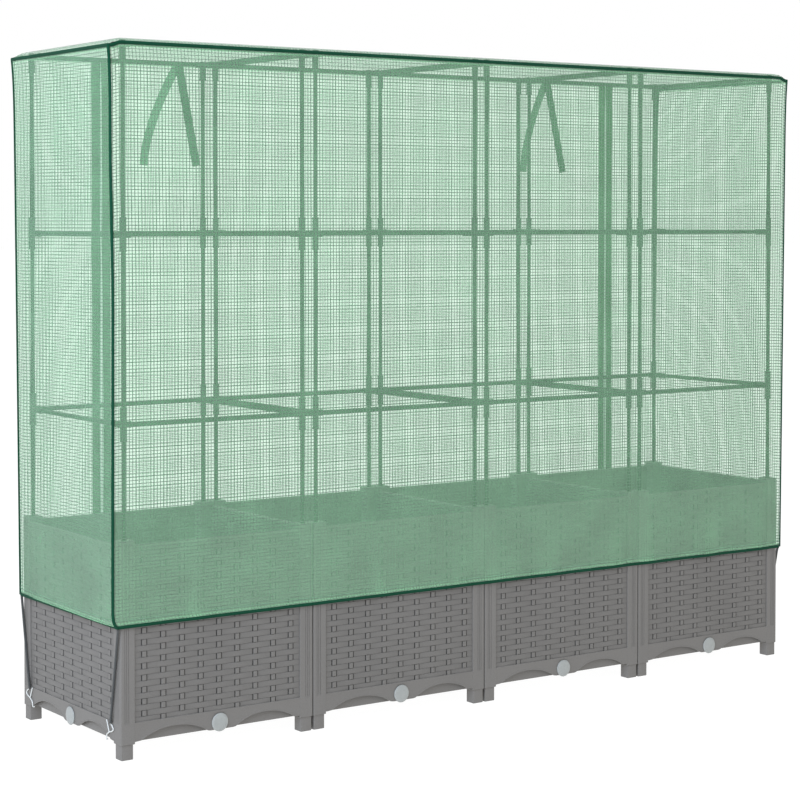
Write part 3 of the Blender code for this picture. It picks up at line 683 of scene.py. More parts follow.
@dataclass(frozen=True)
class TapeYarn(Finish):
    """Flat green polyethylene tape yarn, slit and drawn: it is dull, and streaked along its run."""

    name: str = "tape yarn"
    colour: str = "#677D6E"

    def sockets(self, tree: Tree) -> dict:
        """Small changes of shade from place to place.

        Args:
            tree: The material's nodes.

        Returns:
            The shader's inputs.
        """
        place = add(tree, "TexCoord", out="Object")
        streak = add(tree, "TexNoise", {"Vector": place, "Scale": 90.0, "Detail": 2.0})
        return {"Base Color": shaded(tree, self.colour, streak, 0.9, 1.1), "Roughness": 0.55, "IOR": 1.5}


@dataclass(frozen=True)
class WovenTape(Finish):
    """Woven polyester tape: fine ribs across it, a soft sheen and, where sewn, a line of stitches."""

    name: str = "woven polyester edging"
    colour: str = "#083F2B"
    thread: str = "#12503A"
    rib_mm: float = 1.3  # the real ribs are about half of this, too fine to show
    stitch_mm: float = 3.4
    stitch_width_mm: float = 0.7
    stitch_line_mm: float = 3.0
    is_sewn: bool = True

    def sockets(self, tree: Tree) -> dict:
        """The weave, on a UV map in metres: across the tape first, along it second.

        Args:
            tree: The material's nodes.

        Returns:
            The shader's inputs.
        """
        across = add(tree, "SeparateXYZ", {0: add(tree, "UVMap", uv_map="surface")})
        along = across.node.outputs[1]
        waves = []
        for way, size in ((across, self.rib_mm * 0.7), (along, self.rib_mm)):
            turn = add(tree, "Math", {0: way, 1: 2 * math.pi / (size * MM)}, operation="MULTIPLY")
            waves.append(add(tree, "Math", {0: turn}, operation="SINE"))
        weave = add(tree, "Math", {0: waves[0], 1: waves[1]}, operation="MULTIPLY")
        height = add(tree, "Math", {0: weave, 1: 0.6, 2: waves[1]}, operation="MULTIPLY_ADD")
        dust = add(tree, "TexNoise", {"Vector": add(tree, "TexCoord", out="Object"), "Scale": 60.0})
        tint = add(tree, "MapRange", {0: height, 1: -1.6, 2: 1.6, 3: 0.78, 4: 1.2})
        drift = add(tree, "MapRange", {0: dust, 1: 0.3, 2: 0.7, 3: 0.92, 4: 1.08})
        both = add(tree, "Math", {0: tint, 1: drift}, operation="MULTIPLY")
        shade = add(tree, "VectorMath", {0: linear(self.colour)[:3], 3: both}, operation="SCALE")
        if self.is_sewn:
            shade = self.stitched(tree, across, along, shade)
        return {
            "Base Color": shade,
            "Roughness": 0.78,
            "Sheen Weight": 0.04,
            "Sheen Roughness": 0.5,
            "Normal": add(tree, "Bump", {"Height": height, "Strength": 0.5, "Distance": 0.00015}),
            "Specular IOR Level": 0.12,
        }

    def stitched(self, tree: Tree, across: Socket, along: Socket, shade: Socket) -> Socket:
        """The tape's colour with a dashed line of thread along it.

        Args:
            tree: The material's nodes.
            across: Metres across the tape.
            along: Metres along the tape.
            shade: The colour beside the thread.

        Returns:
            The colour with the thread.
        """
        away = add(tree, "Math", {0: across, 1: self.stitch_line_mm * MM}, operation="SUBTRACT")
        near = add(tree, "Math", {0: away}, operation="ABSOLUTE")
        on_line = add(tree, "Math", {0: near, 1: self.stitch_width_mm / 2 * MM}, operation="LESS_THAN")
        part = add(tree, "Math", {0: along, 1: 1 / (self.stitch_mm * MM)}, operation="MULTIPLY")
        dash = add(tree, "Math", {0: part}, operation="FRACT")
        in_dash = add(tree, "Math", {0: dash, 1: 0.68}, operation="LESS_THAN")
        stitch = add(tree, "Math", {0: on_line, 1: in_dash}, operation="MULTIPLY")
        return add(tree, "Mix", {0: stitch, 6: shade, 7: linear(self.thread)}, 2, data_type="RGBA")


@dataclass(frozen=True)
class MouldedPart(Finish):
    """A small glossy moulded part of acetal or coated steel, in one colour with slight marks."""

    name: str
    colour: str
    roughness: float = 0.32

    def sockets(self, tree: Tree) -> dict:
        """Faint handling marks in the gloss.

        Args:
            tree: The material's nodes.

        Returns:
            The shader's inputs.
        """
        place = add(tree, "TexCoord", out="Object")
        marks = add(tree, "TexNoise", {"Vector": place, "Scale": 400.0, "Detail": 4.0})
        low, high = self.roughness - 0.06, self.roughness + 0.1
        return {
            "Base Color": shaded(tree, self.colour, marks, 0.94, 1.06),
            "Roughness": add(tree, "MapRange", {0: marks, 1: 0.3, 2: 0.7, 3: low, 4: high}),
            "Normal": add(tree, "Bump", {"Height": marks, "Strength": 0.2, "Distance": 0.00005}),
            "IOR": 1.48,
        }


@dataclass(frozen=True)
class BraidedElastic(Finish):
    """Elastic cord in a braided sleeve: two sets of yarns that cross on the slant."""

    name: str = "braided elastic"
    colour: str = "#333535"
    light_yarn: str = "#4E5150"
    yarn_mm: float = 1.6  # the real braid is finer, and is drawn as coarse as it shows

    def sockets(self, tree: Tree) -> dict:
        """The braid, on a UV map in metres: round the cord first, along it second.

        Args:
            tree: The material's nodes.

        Returns:
            The shader's inputs.
        """
        around = add(tree, "SeparateXYZ", {0: add(tree, "UVMap", uv_map="surface")})
        waves = []
        for sign in (1.0, -1.0):
            slant = add(tree, "Math", {0: around, 1: 2.0 * sign, 2: around.node.outputs[1]}, operation="MULTIPLY_ADD")
            turn = add(tree, "Math", {0: slant, 1: 2 * math.pi / (self.yarn_mm * MM)}, operation="MULTIPLY")
            waves.append(add(tree, "Math", {0: turn}, operation="SINE"))
        braid = add(tree, "Math", {0: waves[0], 1: waves[1]}, operation="MULTIPLY")
        mix = add(tree, "MapRange", {0: braid, 1: -1.0, 2: 1.0, 3: 0.0, 4: 1.0})
        yarns = {0: mix, 6: linear(self.colour), 7: linear(self.light_yarn)}
        return {
            "Base Color": add(tree, "Mix", yarns, 2, data_type="RGBA"),
            "Roughness": 0.7,
            "Normal": add(tree, "Bump", {"Height": braid, "Strength": 0.6, "Distance": 0.0002}),
            "Sheen Weight": 0.2,
        }


@dataclass(frozen=True)
class StudioFloor(Finish):
    """Matt white paper under the object, lit so evenly that it reads as white."""

    name: str = "white paper"
    glow: float = 0.97

    def sockets(self, tree: Tree) -> dict:
        """Fine fibres in a matt white that glows a little.

        Args:
            tree: The material's nodes.

        Returns:
            The shader's inputs.
        """
        place = add(tree, "TexCoord", out="Object")
        fibre = add(tree, "TexNoise", {"Vector": place, "Scale": 300.0, "Detail": 3.0})
        return {
            "Base Color": add(tree, "MapRange", {0: fibre, 3: 0.10, 4: 0.14}),
            "Roughness": 0.9,
            "Specular IOR Level": 0.0,
            "Emission Color": (1.0, 1.0, 1.0, 1.0),
            "Emission Strength": self.glow,
        }


class Finishes:
    """Every material of the object, made once."""

    def __init__(self) -> None:
        """Makes the materials."""
        # The woven walls' finish paints shade into hollows, from the relief attribute.
        self.wall = MouldedPolypropylene().make()
        self.plain_wall = MouldedPolypropylene(crest="#757370", paints_shade=False).make()
        self.plug = SoftPolyethylene().make()
        self.tube = ExtrudedTube().make()
        self.fitting = MouldedPart("moulded fitting", "#1B201C", 0.5).make()
        self.film = LaminatedFilm().make()
        self.yarn = TapeYarn().make()
        self.edging = WovenTape().make()
        self.zip_weave = WovenTape("woven zip tape", "#2A5C2E", "#346B3A", 1.2, is_sewn=False).make()
        self.strap = WovenTape("woven strap", "#07381A", "#0E4423", 1.8, is_sewn=False).make()
        self.teeth = MouldedPart("moulded teeth", "#D8E4DA").make()
        self.slider = MouldedPart("moulded slider", "#236B3A").make()
        self.elastic = BraidedElastic().make()
        self.wire = MouldedPart("white coated wire", "#D9DCDA", 0.3).make()
        self.stitch = TapeYarn(colour="#7FAE90").make()


# The shared layout, which repeats the part's driving sizes


@dataclass(frozen=True)
class Layout:
    """Sizes that several sub-assemblies share."""

    bays: int = 4
    pitch: float = 0.400
    gap: float = 0.0015
    pillar_width: float = 0.028
    pillar_top: float = 0.387
    foot_height: float = 0.030
    apron_top: float = 0.065
    panel_top: float = 0.379
    post_depth: float = 0.085
    plug_height: float = 0.043
    frame_top: float = 1.2646
    hem_height: float = 0.237
    hem_outside: float = 0.0095
    lean: float = 0.006
    flare: float = 0.0045
    flare_depth: float = 0.040
    front_outside: float = 0.0040
    end_seam: float = 1.2525
    seam_rise: float = 0.0062
    seam_rise_run: float = 0.022
    zip_from_end: dict[End, float] = field(default_factory=lambda: {End.LEFT: 0.1680, End.RIGHT: 0.1480})

    @property
    def half_plan(self) -> float:
        """Half the side of a planter."""
        return (self.pitch - self.gap) / 2

    @property
    def post_from_centre(self) -> float:
        """From a planter's centre to the axis of a post."""
        return self.half_plan - self.pillar_width / 2

    @property
    def pillar_inner(self) -> float:
        """From a planter's centre to the inner side of a pillar."""
        return self.half_plan - self.pillar_width

    @property
    def row_half(self) -> float:
        """Half the length of the row."""
        return (self.bays - 1) / 2 * self.pitch + self.half_plan

    @property
    def cover_half_y(self) -> float:
        """From the middle of the row to the cover's long sides."""
        return self.half_plan + self.front_outside

    @property
    def top_half_x(self) -> float:
        """Half the length of the cover at its top seam."""
        return self.row_half + self.hem_outside + self.lean + self.flare

    @property
    def side_seam(self) -> float:
        """The height of the seam along the long sides."""
        return self.end_seam + self.seam_rise

    @property
    def side_tall(self) -> float:
        """The height of a panel from its hem to that seam."""
        return self.side_seam - self.hem_height

    def zip_x(self, end: End) -> float:
        """X of the line where a zip closes: the right zip is sewn nearer to its end."""
        return end.value * (self.row_half - self.zip_from_end[end])

    def bay_centre(self, bay: int) -> float:
        """X of a planter's centre, counted from 0 at the left."""
        return (bay - (self.bays - 1) / 2) * self.pitch

    def cover_half_x(self, z: Array | float) -> Array:
        """Half the cover's length at a height: it leans out evenly and flares near the seam.

        Args:
            z: Heights.

        Returns:
            Half the length at each height.
        """
        rise = (np.asarray(z) - self.hem_height) / (self.end_seam - self.hem_height)
        flare = self.flare * np.exp(-np.maximum(0.0, self.end_seam - z) / self.flare_depth)
        return self.row_half + self.hem_outside + self.lean * rise + flare

    def slack(self, end: End, y: Array | float, z: Array | float) -> Array:
        """How much further out the cover hangs at an end than cover_half_x.

        At the left it is pulled askew at the hem, where the front corner is rounded off; the other end
        leans a little more.

        Args:
            end: The end.
            y: Places across the row.
            z: Heights.

        Returns:
            The extra distance for each place.
        """
        side, z = np.asarray(y) / self.cover_half_y, np.asarray(z)
        up = np.clip((z - self.hem_height) / (self.end_seam - self.hem_height), 0, 1)
        if end is End.RIGHT:
            pulled_in = (0.004 + 0.005 * soft_step((z - 0.40) / 0.2)) * (side + 1) / 2
            return 0.006 * up - 0.003 - pulled_in
        corner = 0.009 * np.exp(-np.maximum(z - self.hem_height, 0) / 0.007) * np.clip(-side, 0, 1) ** 6
        spread = (0.0015 + 0.005 * soft_step((up - 0.55) / 0.3)) * (1 - side) / 2
        return 0.001 - 0.0034 * up - 0.0055 * (1 - 1.15 * up) * side - corner + spread

    def seam_height(self, x: Array | float) -> Array:
        """Height of the long sides' seam: level over the row and lower at the two ends."""
        return self.end_seam + self.seam_rise * soft_step((self.top_half_x - np.abs(x)) / self.seam_rise_run)


LAYOUT = Layout()


# Stage


@dataclass
class Studio:
    """The floor, the lights and the camera."""

    camera_place: tuple[float, float, float] = (-2.4962, -3.4841, 0.9475)
    camera_turn_deg: tuple[float, float, float] = (88.720, 0.0, -34.917)
    lens_mm: float = 94.640
    shift_up: float = -0.165
    floor_half: float = 60.0
    sky_seen: float = 1.0
    sky_light: float = 0.68

    def build(self) -> None:
        """Makes the floor, the world, the lights and the camera."""
        half = self.floor_half
        corners = np.array([[[-half, -half, 0], [half, -half, 0]], [[-half, half, 0], [half, half, 0]]], float)
        object_of("studio_floor", [grid_patch(corners).facing((0, 0, 1))], [StudioFloor().make()])
        self.make_sky()
        self.add_light("key_left", (-3.4, -1.6, 2.3), 0.6, 2.6, 125.0, "#DFEBFF")
        self.add_light("fill_front", (1.6, -4.6, 2.6), 0.7, 3.0, 12.0, "#FFF9F2")
        self.add_light("fill_rear", (0.8, 4.2, 2.6), 0.7, 3.0, 30.0, "#FFFFFF")
        self.add_camera()
        bpy.context.scene.view_settings.view_transform = "Standard"
        bpy.context.scene.cycles.transparent_max_bounces = 24

    def make_sky(self) -> None:
        """A white surround whose light on the object is weaker than what the camera sees."""
        world = bpy.data.worlds.new("white surround")
        world.use_nodes = True
        tree = world.node_tree
        ray = add(tree, "LightPath", out="Is Camera Ray")
        strength = add(tree, "MapRange", {0: ray, 3: self.sky_light, 4: self.sky_seen})
        fill(tree, tree.nodes["Background"], {0: (1.0, 1.0, 1.0, 1.0), 1: strength})
        bpy.context.scene.world = world

    def add_light(self, name: str, place: Numbers, aim: float, size: float, watts: float, colour: str) -> None:
        """A soft square light.

        Args:
            name: Its name.
            place: Where it is.
            aim: The height above the origin that it shines at.
            size: Its side.
            watts: Its power.
            colour: Its colour.
        """
        data = bpy.data.lights.new(name, "AREA")
        data.shape, data.size, data.energy, data.color = "SQUARE", size, watts, linear(colour)[:3]
        light = bpy.data.objects.new(name, data)
        way = unit(np.array(place) - np.array([0.0, 0.0, aim]))
        light.rotation_euler = (math.acos(way[2]), 0.0, math.atan2(way[0], -way[1]))
        light.location = place
        bpy.context.scene.collection.objects.link(light)

    def add_camera(self) -> None:
        """The camera, at the photograph's viewing angle."""
        data = bpy.data.cameras.new("camera")
        data.lens, data.sensor_width, data.shift_y = self.lens_mm, 36.0, self.shift_up
        camera = bpy.data.objects.new("camera", data)
        camera.location = self.camera_place
        camera.rotation_euler = tuple(math.radians(a) for a in self.camera_turn_deg)
        bpy.context.scene.collection.objects.link(camera)
        bpy.context.scene.camera = camera


# Cords and hooks


@dataclass
class CornerCord:
    """An elastic cord from the hem's corner down to a wire hook that grips under the base tray."""

    end: End
    face: Face
    finishes: Finishes
    width: float = 0.0048
    tied_outside: float = 0.0045
    tied_from_middle: float = 0.1990
    cord_from_middle: dict[Face, float] = field(default_factory=lambda: {Face.FRONT: 0.1650, Face.REAR: 0.1685})
    hook_from_middle: dict[Face, float] = field(default_factory=lambda: {Face.FRONT: 0.1615, Face.REAR: 0.1725})
    hook_wire: float = 0.0022
    cord_low: float = 0.0620
    tape_radius: float = 0.0031
    foot_reach: float = 0.0020
    cord_clear: float = 0.0004
    hook_clear: float = 0.0005
    loop_radius: float = 0.0042
    loop_wire: float = 0.0017
    wrap_size: tuple[float, float] = (0.0056, 0.0050)

    @property
    def tag(self) -> str:
        """The side and row in the names of the corner's nodes."""
        return f"{self.end.tag}_{self.face.tag}"

    def path(self) -> Array:
        """The cord's centre line: straight from just under the hem's tape to the top of the hook.

        Returns:
            Places, n by 3.
        """
        sign_x, sign_y = self.end.value, self.face.value
        tied_x = sign_x * (LAYOUT.row_half + self.tied_outside)
        tied = np.array([tied_x, sign_y * self.tied_from_middle, LAYOUT.hem_height])
        outside = sign_x * (LAYOUT.row_half + self.width / 2 + self.cord_clear)
        low = np.array([outside, sign_y * self.cord_from_middle[self.face], self.cord_low])
        start = tied + unit(low - tied) * self.tape_radius
        return start + (low - start) * np.linspace(0, 1, 25)[:, None]

    def add(self, name: str, patches: list[Patch], finish: Material, slot: str, node: str = "") -> Object:
        """Adds a piece on this corner's body.

        Args:
            name: The piece's name without its corner.
            patches: Its surfaces.
            finish: Its material.
            slot: Not used.
            node: The solid that it stands for, without its corner.

        Returns:
            The object.
        """
        nodes = [f"{node}_{self.tag}"] if node else []
        return add_piece(f"{name}_{self.tag}", patches, [finish], nodes, f"hook_cord_{self.tag}")

    def knots(self) -> list[Patch]:
        """The cord's loop round the hem's tape, and its wrapped ends.

        Returns:
            Closed patches.
        """
        path = self.path()
        run = unit(path[-1] - path[0])
        turns = circle(np.linspace(0, 2 * np.pi, 25)[:-1])
        ring = path[0] - run * self.tape_radius + self.loop_radius * (turns @ np.array([[0, 1, 0], [0, 0, 1]]))
        found = [sweep(ring, round_profile(self.loop_wire, self.loop_wire, 8), (1, 0, 0), closed=True)]
        for start, along in ((path[0], 1), (path[-1], -1)):
            wrap = start + run * along * np.array([0.0, 0.0012, 0.0048, 0.0062])[:, None]
            section = round_profile(*self.wrap_size, 14)
            found.append(sweep(wrap, section, (0, 1, 0), scale=np.array([0.7, 1, 1, 0.7])))
        return found

    def hook(self) -> list[Patch]:
        """The bent wire: a shank that curls away from the middle, a foot under the tray, a free prong.

        Returns:
            Closed patches.
        """
        sign_x, sign_y = self.end.value, self.face.value
        x = sign_x * (LAYOUT.row_half + self.hook_clear + self.hook_wire / 2)
        shank = [(1.0, 61.0), (9.0, 56.5), (12.5, 51.2), (5.0, 46.9), (-3.5, 45.0), (-13.5, 38.5), (-15.5, 29.4)]
        prong = [(-3.2, 44.9), (-4.2, 45.6), (-7.6, 52.5), (-13.6, 65.0)]
        middle = self.hook_from_middle[self.face]
        lines = [[(x, sign_y * (middle + out * MM), up * MM) for out, up in line] for line in (shank, prong)]
        lines[0].append((sign_x * (LAYOUT.row_half - self.foot_reach), *lines[0][-1][1:]))
        bends = (np.array([[1.0, 3.0, 3.0, 3.6, 4.2, 1.4, 1.4, 1.0]]).T * MM, 0.0004)
        wire = round_profile(self.hook_wire, self.hook_wire, 12)
        return [sweep(eased(line, bend, steps=7), wire, (0.5, 0.02, 0.3)) for line, bend in zip(lines, bends)]

    def build(self) -> None:
        path = self.path()
        patch = sweep(path, round_profile(self.width, self.width, 20), (0, 1, 0))
        cord = self.add("stretched_cord", [patch], self.finishes.elastic, "elastic_cord", "elastic_cord")
        loop = self.add("cord_knots", self.knots(), self.finishes.elastic, "elastic_cord")
        hook = self.add("wire_hook", self.hook(), self.finishes.wire, "hook_wire", "cord_hook")
        tuple(path[0])


# Trellis


@dataclass
class Trellis:
    """Sixteen posts, and three levels of rails with their connector fittings."""

    finishes: Finishes
    tube: float = 0.0080
    rail: float = 0.0084
    sleeve: float = 0.0118
    sleeve_reach: float = 0.030
    socket: float = 0.0112
    socket_reach: float = 0.036
    lip: float = 0.0009
    lip_past: float = 0.0004
    sleeve_lip: float = 0.0036
    socket_lip: float = 0.003
    edge: float = 0.0006
    end_clear: float = 0.012
    cross_drop: float = 0.0004
    post_clear: float = 0.0025

    def posts(self) -> Iterator[tuple[str, float, float]]:
        """The name and place of each post.

        Returns:
            Each name with X and Y.
        """
        for bay in range(LAYOUT.bays):
            for end in End:
                for face in Face:
                    x = LAYOUT.bay_centre(bay) + end.value * LAYOUT.post_from_centre
                    yield f"post_{bay + 1}_{face.tag}_{end.tag}", x, face.value * LAYOUT.post_from_centre

    def straight(self, start: Numbers, end: Numbers, width: float, slot: int = 0) -> Patch:
        """A straight round tube with softened ends.

        Args:
            start: One end.
            end: The other end.
            width: Its diameter.
            slot: The material slot: 0 for a tube, 1 for a fitting.

        Returns:
            A closed patch.
        """
        start, end = np.asarray(start, float), np.asarray(end, float)
        length = np.linalg.norm(end - start)
        edge = min(self.edge, length / 8)
        marks = np.array([0.0, edge * 0.3, edge, length - edge, length - edge * 0.3, length])
        path = start + (end - start) * (marks / length)[:, None]
        scale = np.array([0.86, 0.95, 1, 1, 0.95, 0.86])
        across = (1, 0, 0) if abs((end - start)[2]) > length / 2 else (0, 0, 1)
        return sweep(path, round_profile(width, width, 16), across, scale=scale, slot=slot)

    def fitting(self, x: float, y: float, level: Level) -> list[Patch]:
        """One connector: an upright sleeve with a lip at each end, and a socket for each rail.

        Args:
            x: X of its post.
            y: Y of its post.
            level: Its level.

        Returns:
            Its tubes.
        """
        z = level.value
        low, high = z - self.sleeve_reach, LAYOUT.frame_top if level is Level.TOP else z + self.sleeve_reach
        lipped, ringed = self.sleeve + self.lip, self.socket + self.lip
        parts = [self.straight((x, y, low), (x, y, high), self.sleeve, 1)]
        parts.append(self.straight((x, y, low - self.lip_past), (x, y, low + self.sleeve_lip), lipped, 1))
        if level is not Level.TOP:
            parts.append(self.straight((x, y, high - self.sleeve_lip), (x, y, high + self.lip_past), lipped, 1))
        inner = -math.copysign(1.0, y)
        reach_y = y + inner * self.socket_reach
        drop = z - self.cross_drop
        parts.append(self.straight((x, y, drop), (x, reach_y, drop), self.socket, 1))
        parts.append(self.straight((x, reach_y - inner * self.socket_lip, drop), (x, reach_y, drop), ringed, 1))
        past = abs(x) % LAYOUT.pitch
        for sign in (-1, 1):
            if abs(x + sign * self.socket_reach) < LAYOUT.row_half - self.end_clear:
                meets = min(past, LAYOUT.pitch - past) < 0.02 and (x * sign < 0) == (past > LAYOUT.pitch / 2)
                end_x = x + sign * self.socket_reach * (0.4 if meets else 1.0)
                parts.append(self.straight((x, y, z), (end_x, y, z), self.socket, 1))
                parts.append(self.straight((end_x - sign * self.socket_lip, y, z), (end_x, y, z), ringed, 1))
        return parts

    def level(self, level: Level) -> list[Patch]:
        """Rails along the row and across it, with a fitting at each post.

        Args:
            level: The level.

        Returns:
            Closed patches.
        """
        end = (LAYOUT.bays - 1) / 2 * LAYOUT.pitch + LAYOUT.post_from_centre
        z = level.value
        rows = [face.value * LAYOUT.post_from_centre for face in Face]
        parts = [self.straight((-end, y, z), (end, y, z), self.rail) for y in rows]
        for _, x, y in self.posts():
            parts += self.fitting(x, y, level)
            if y < 0:
                drop = z - self.cross_drop
                parts.append(self.straight((x, y, drop), (x, -y, drop), self.rail))
        return parts

    def build(self) -> None:
        """Makes the posts and the three levels."""
        low, high = LAYOUT.pillar_top - LAYOUT.post_depth, LAYOUT.frame_top - self.post_clear
        for name, x, y in self.posts():
            patch = self.straight((x, y, low), (x, y, high), self.tube)
            add_piece(f"tube_{name}", [patch], [self.finishes.tube], [name])
        both = [self.finishes.tube, self.finishes.fitting]
        for level in Level:
            add_piece(f"rails_{level.tag}", self.level(level), both, [f"rail_grid_{level.tag}"])


# Planters


@dataclass
class Wickerwork:
    """The woven relief of a wall: upright stakes, and strands that pass before and behind them."""

    stake_pitch_mm: float = 38.0
    stake_width_mm: float = 8.4
    strand_pitch_mm: float = 10.5
    weave_mm: float = 0.50
    strand_round_mm: float = 0.42
    stake_crest_mm: float = 1.15
    stake_side_mm: float = 0.3
    slot_width_mm: float = 2.0
    gap_mm: float = -0.40
    base_mm: float = -2.0
    # How light each place is painted, from 0 to 1: painted shade in the gaps, slots and on the stakes' sides, painted
    # light on the crests.
    strand_light: float = 0.69
    gap_light: float = 0.40
    slot_light: float = 0.05
    side_light: float = 0.2
    crest_light: float = 0.86

    def columns(self, half: float) -> Array:
        """Places across the wall: close together at the edges of the stakes, and wide between them.

        Args:
            half: Half the wall's width.

        Returns:
            The places, in order.
        """
        half_mm = half / MM
        near = np.array([-6.3, -6.1, -4.35, -4.2, -3.9, -3.2, 0.0, 3.2, 3.9, 4.2, 4.35, 6.1, 6.3])
        stakes = self.stake_pitch_mm * np.arange(-4, 5)
        between = (stakes[:-1] + self.stake_pitch_mm / 2)[:, None] + np.array([-8.0, 0.0, 8.0])
        places = np.concatenate([(stakes[:, None] + near).ravel(), between.ravel(), [-half_mm, half_mm]])
        return np.sort(places[np.abs(places) <= half_mm]) * MM

    def rows(self, low: float, high: float, shares: Numbers) -> Array:
        """Places up the wall, at the same shares of each strand.

        Args:
            low: The lower end.
            high: The upper end.
            shares: Shares of a strand's height.

        Returns:
            The places, in order.
        """
        count = math.ceil((high - low) / MM / self.strand_pitch_mm)
        places = ((np.arange(count)[:, None] + np.array(shares)) * self.strand_pitch_mm).ravel()
        places = places[places < (high - low) / MM - 0.3]
        return low + np.concatenate([places, [(high - low) / MM]]) * MM

    def height(self, x: Array, z: Array, low: float) -> tuple[Array, Array]:
        """The relief in millimetres, and the light and shade painted on the surface there, from 0 for the darkest to
        1.

        A strand's height is its weave times the cosine of half a turn per stake, whose sign changes
        from row to row, plus its rounded section. Where it passes behind a stake, the stake shows, and
        a slot beside the stake goes down to the bare wall.

        Args:
            x: Places across the wall.
            z: Places up the wall.
            low: The height where the first strand begins.

        Returns:
            The two values for each place.
        """
        x_mm, up = x / MM, (z - low) / MM / self.strand_pitch_mm
        row = np.floor(up + 1e-6)
        section = np.sqrt(np.clip(1 - (2 * (up - row) - 1) ** 2, 0, 1))
        phase = np.cos(np.pi * (x_mm / self.stake_pitch_mm + row))
        strand = self.weave_mm * phase + self.strand_round_mm * section
        # Painted shade: strands are darker where they pass behind a stake and towards their edges.
        light = self.strand_light + 0.07 * phase - 0.14 * (1 - section)
        # Painted shade in the gaps between strands, painted shadow in the slots beside the stakes, and painted shade
        # on the stakes' sides.
        in_gap = section < 0.05
        strand, light = np.where(in_gap, self.gap_mm, strand), np.where(in_gap, self.gap_light, light)
        from_stake = np.abs(x_mm - self.stake_pitch_mm * np.round(x_mm / self.stake_pitch_mm))
        half = self.stake_width_mm / 2
        behind = (phase < -0.3) & ~in_gap
        in_slot = behind & (from_stake > half + 0.01) & (from_stake < half + self.slot_width_mm)
        strand, light = np.where(in_slot, self.base_mm, strand), np.where(in_slot, self.slot_light, light)
        on_stake = behind & (from_stake <= half + 0.01)
        stake = self.stake_crest_mm * (1 - 0.35 * (from_stake / half) ** 4)
        stake_light = np.where(from_stake > half - self.stake_side_mm / 2, self.side_light, self.crest_light)
        height = np.where(on_stake, stake, np.maximum(strand, self.base_mm))
        return height, np.where(on_stake, stake_light, np.clip(light, 0, 1))


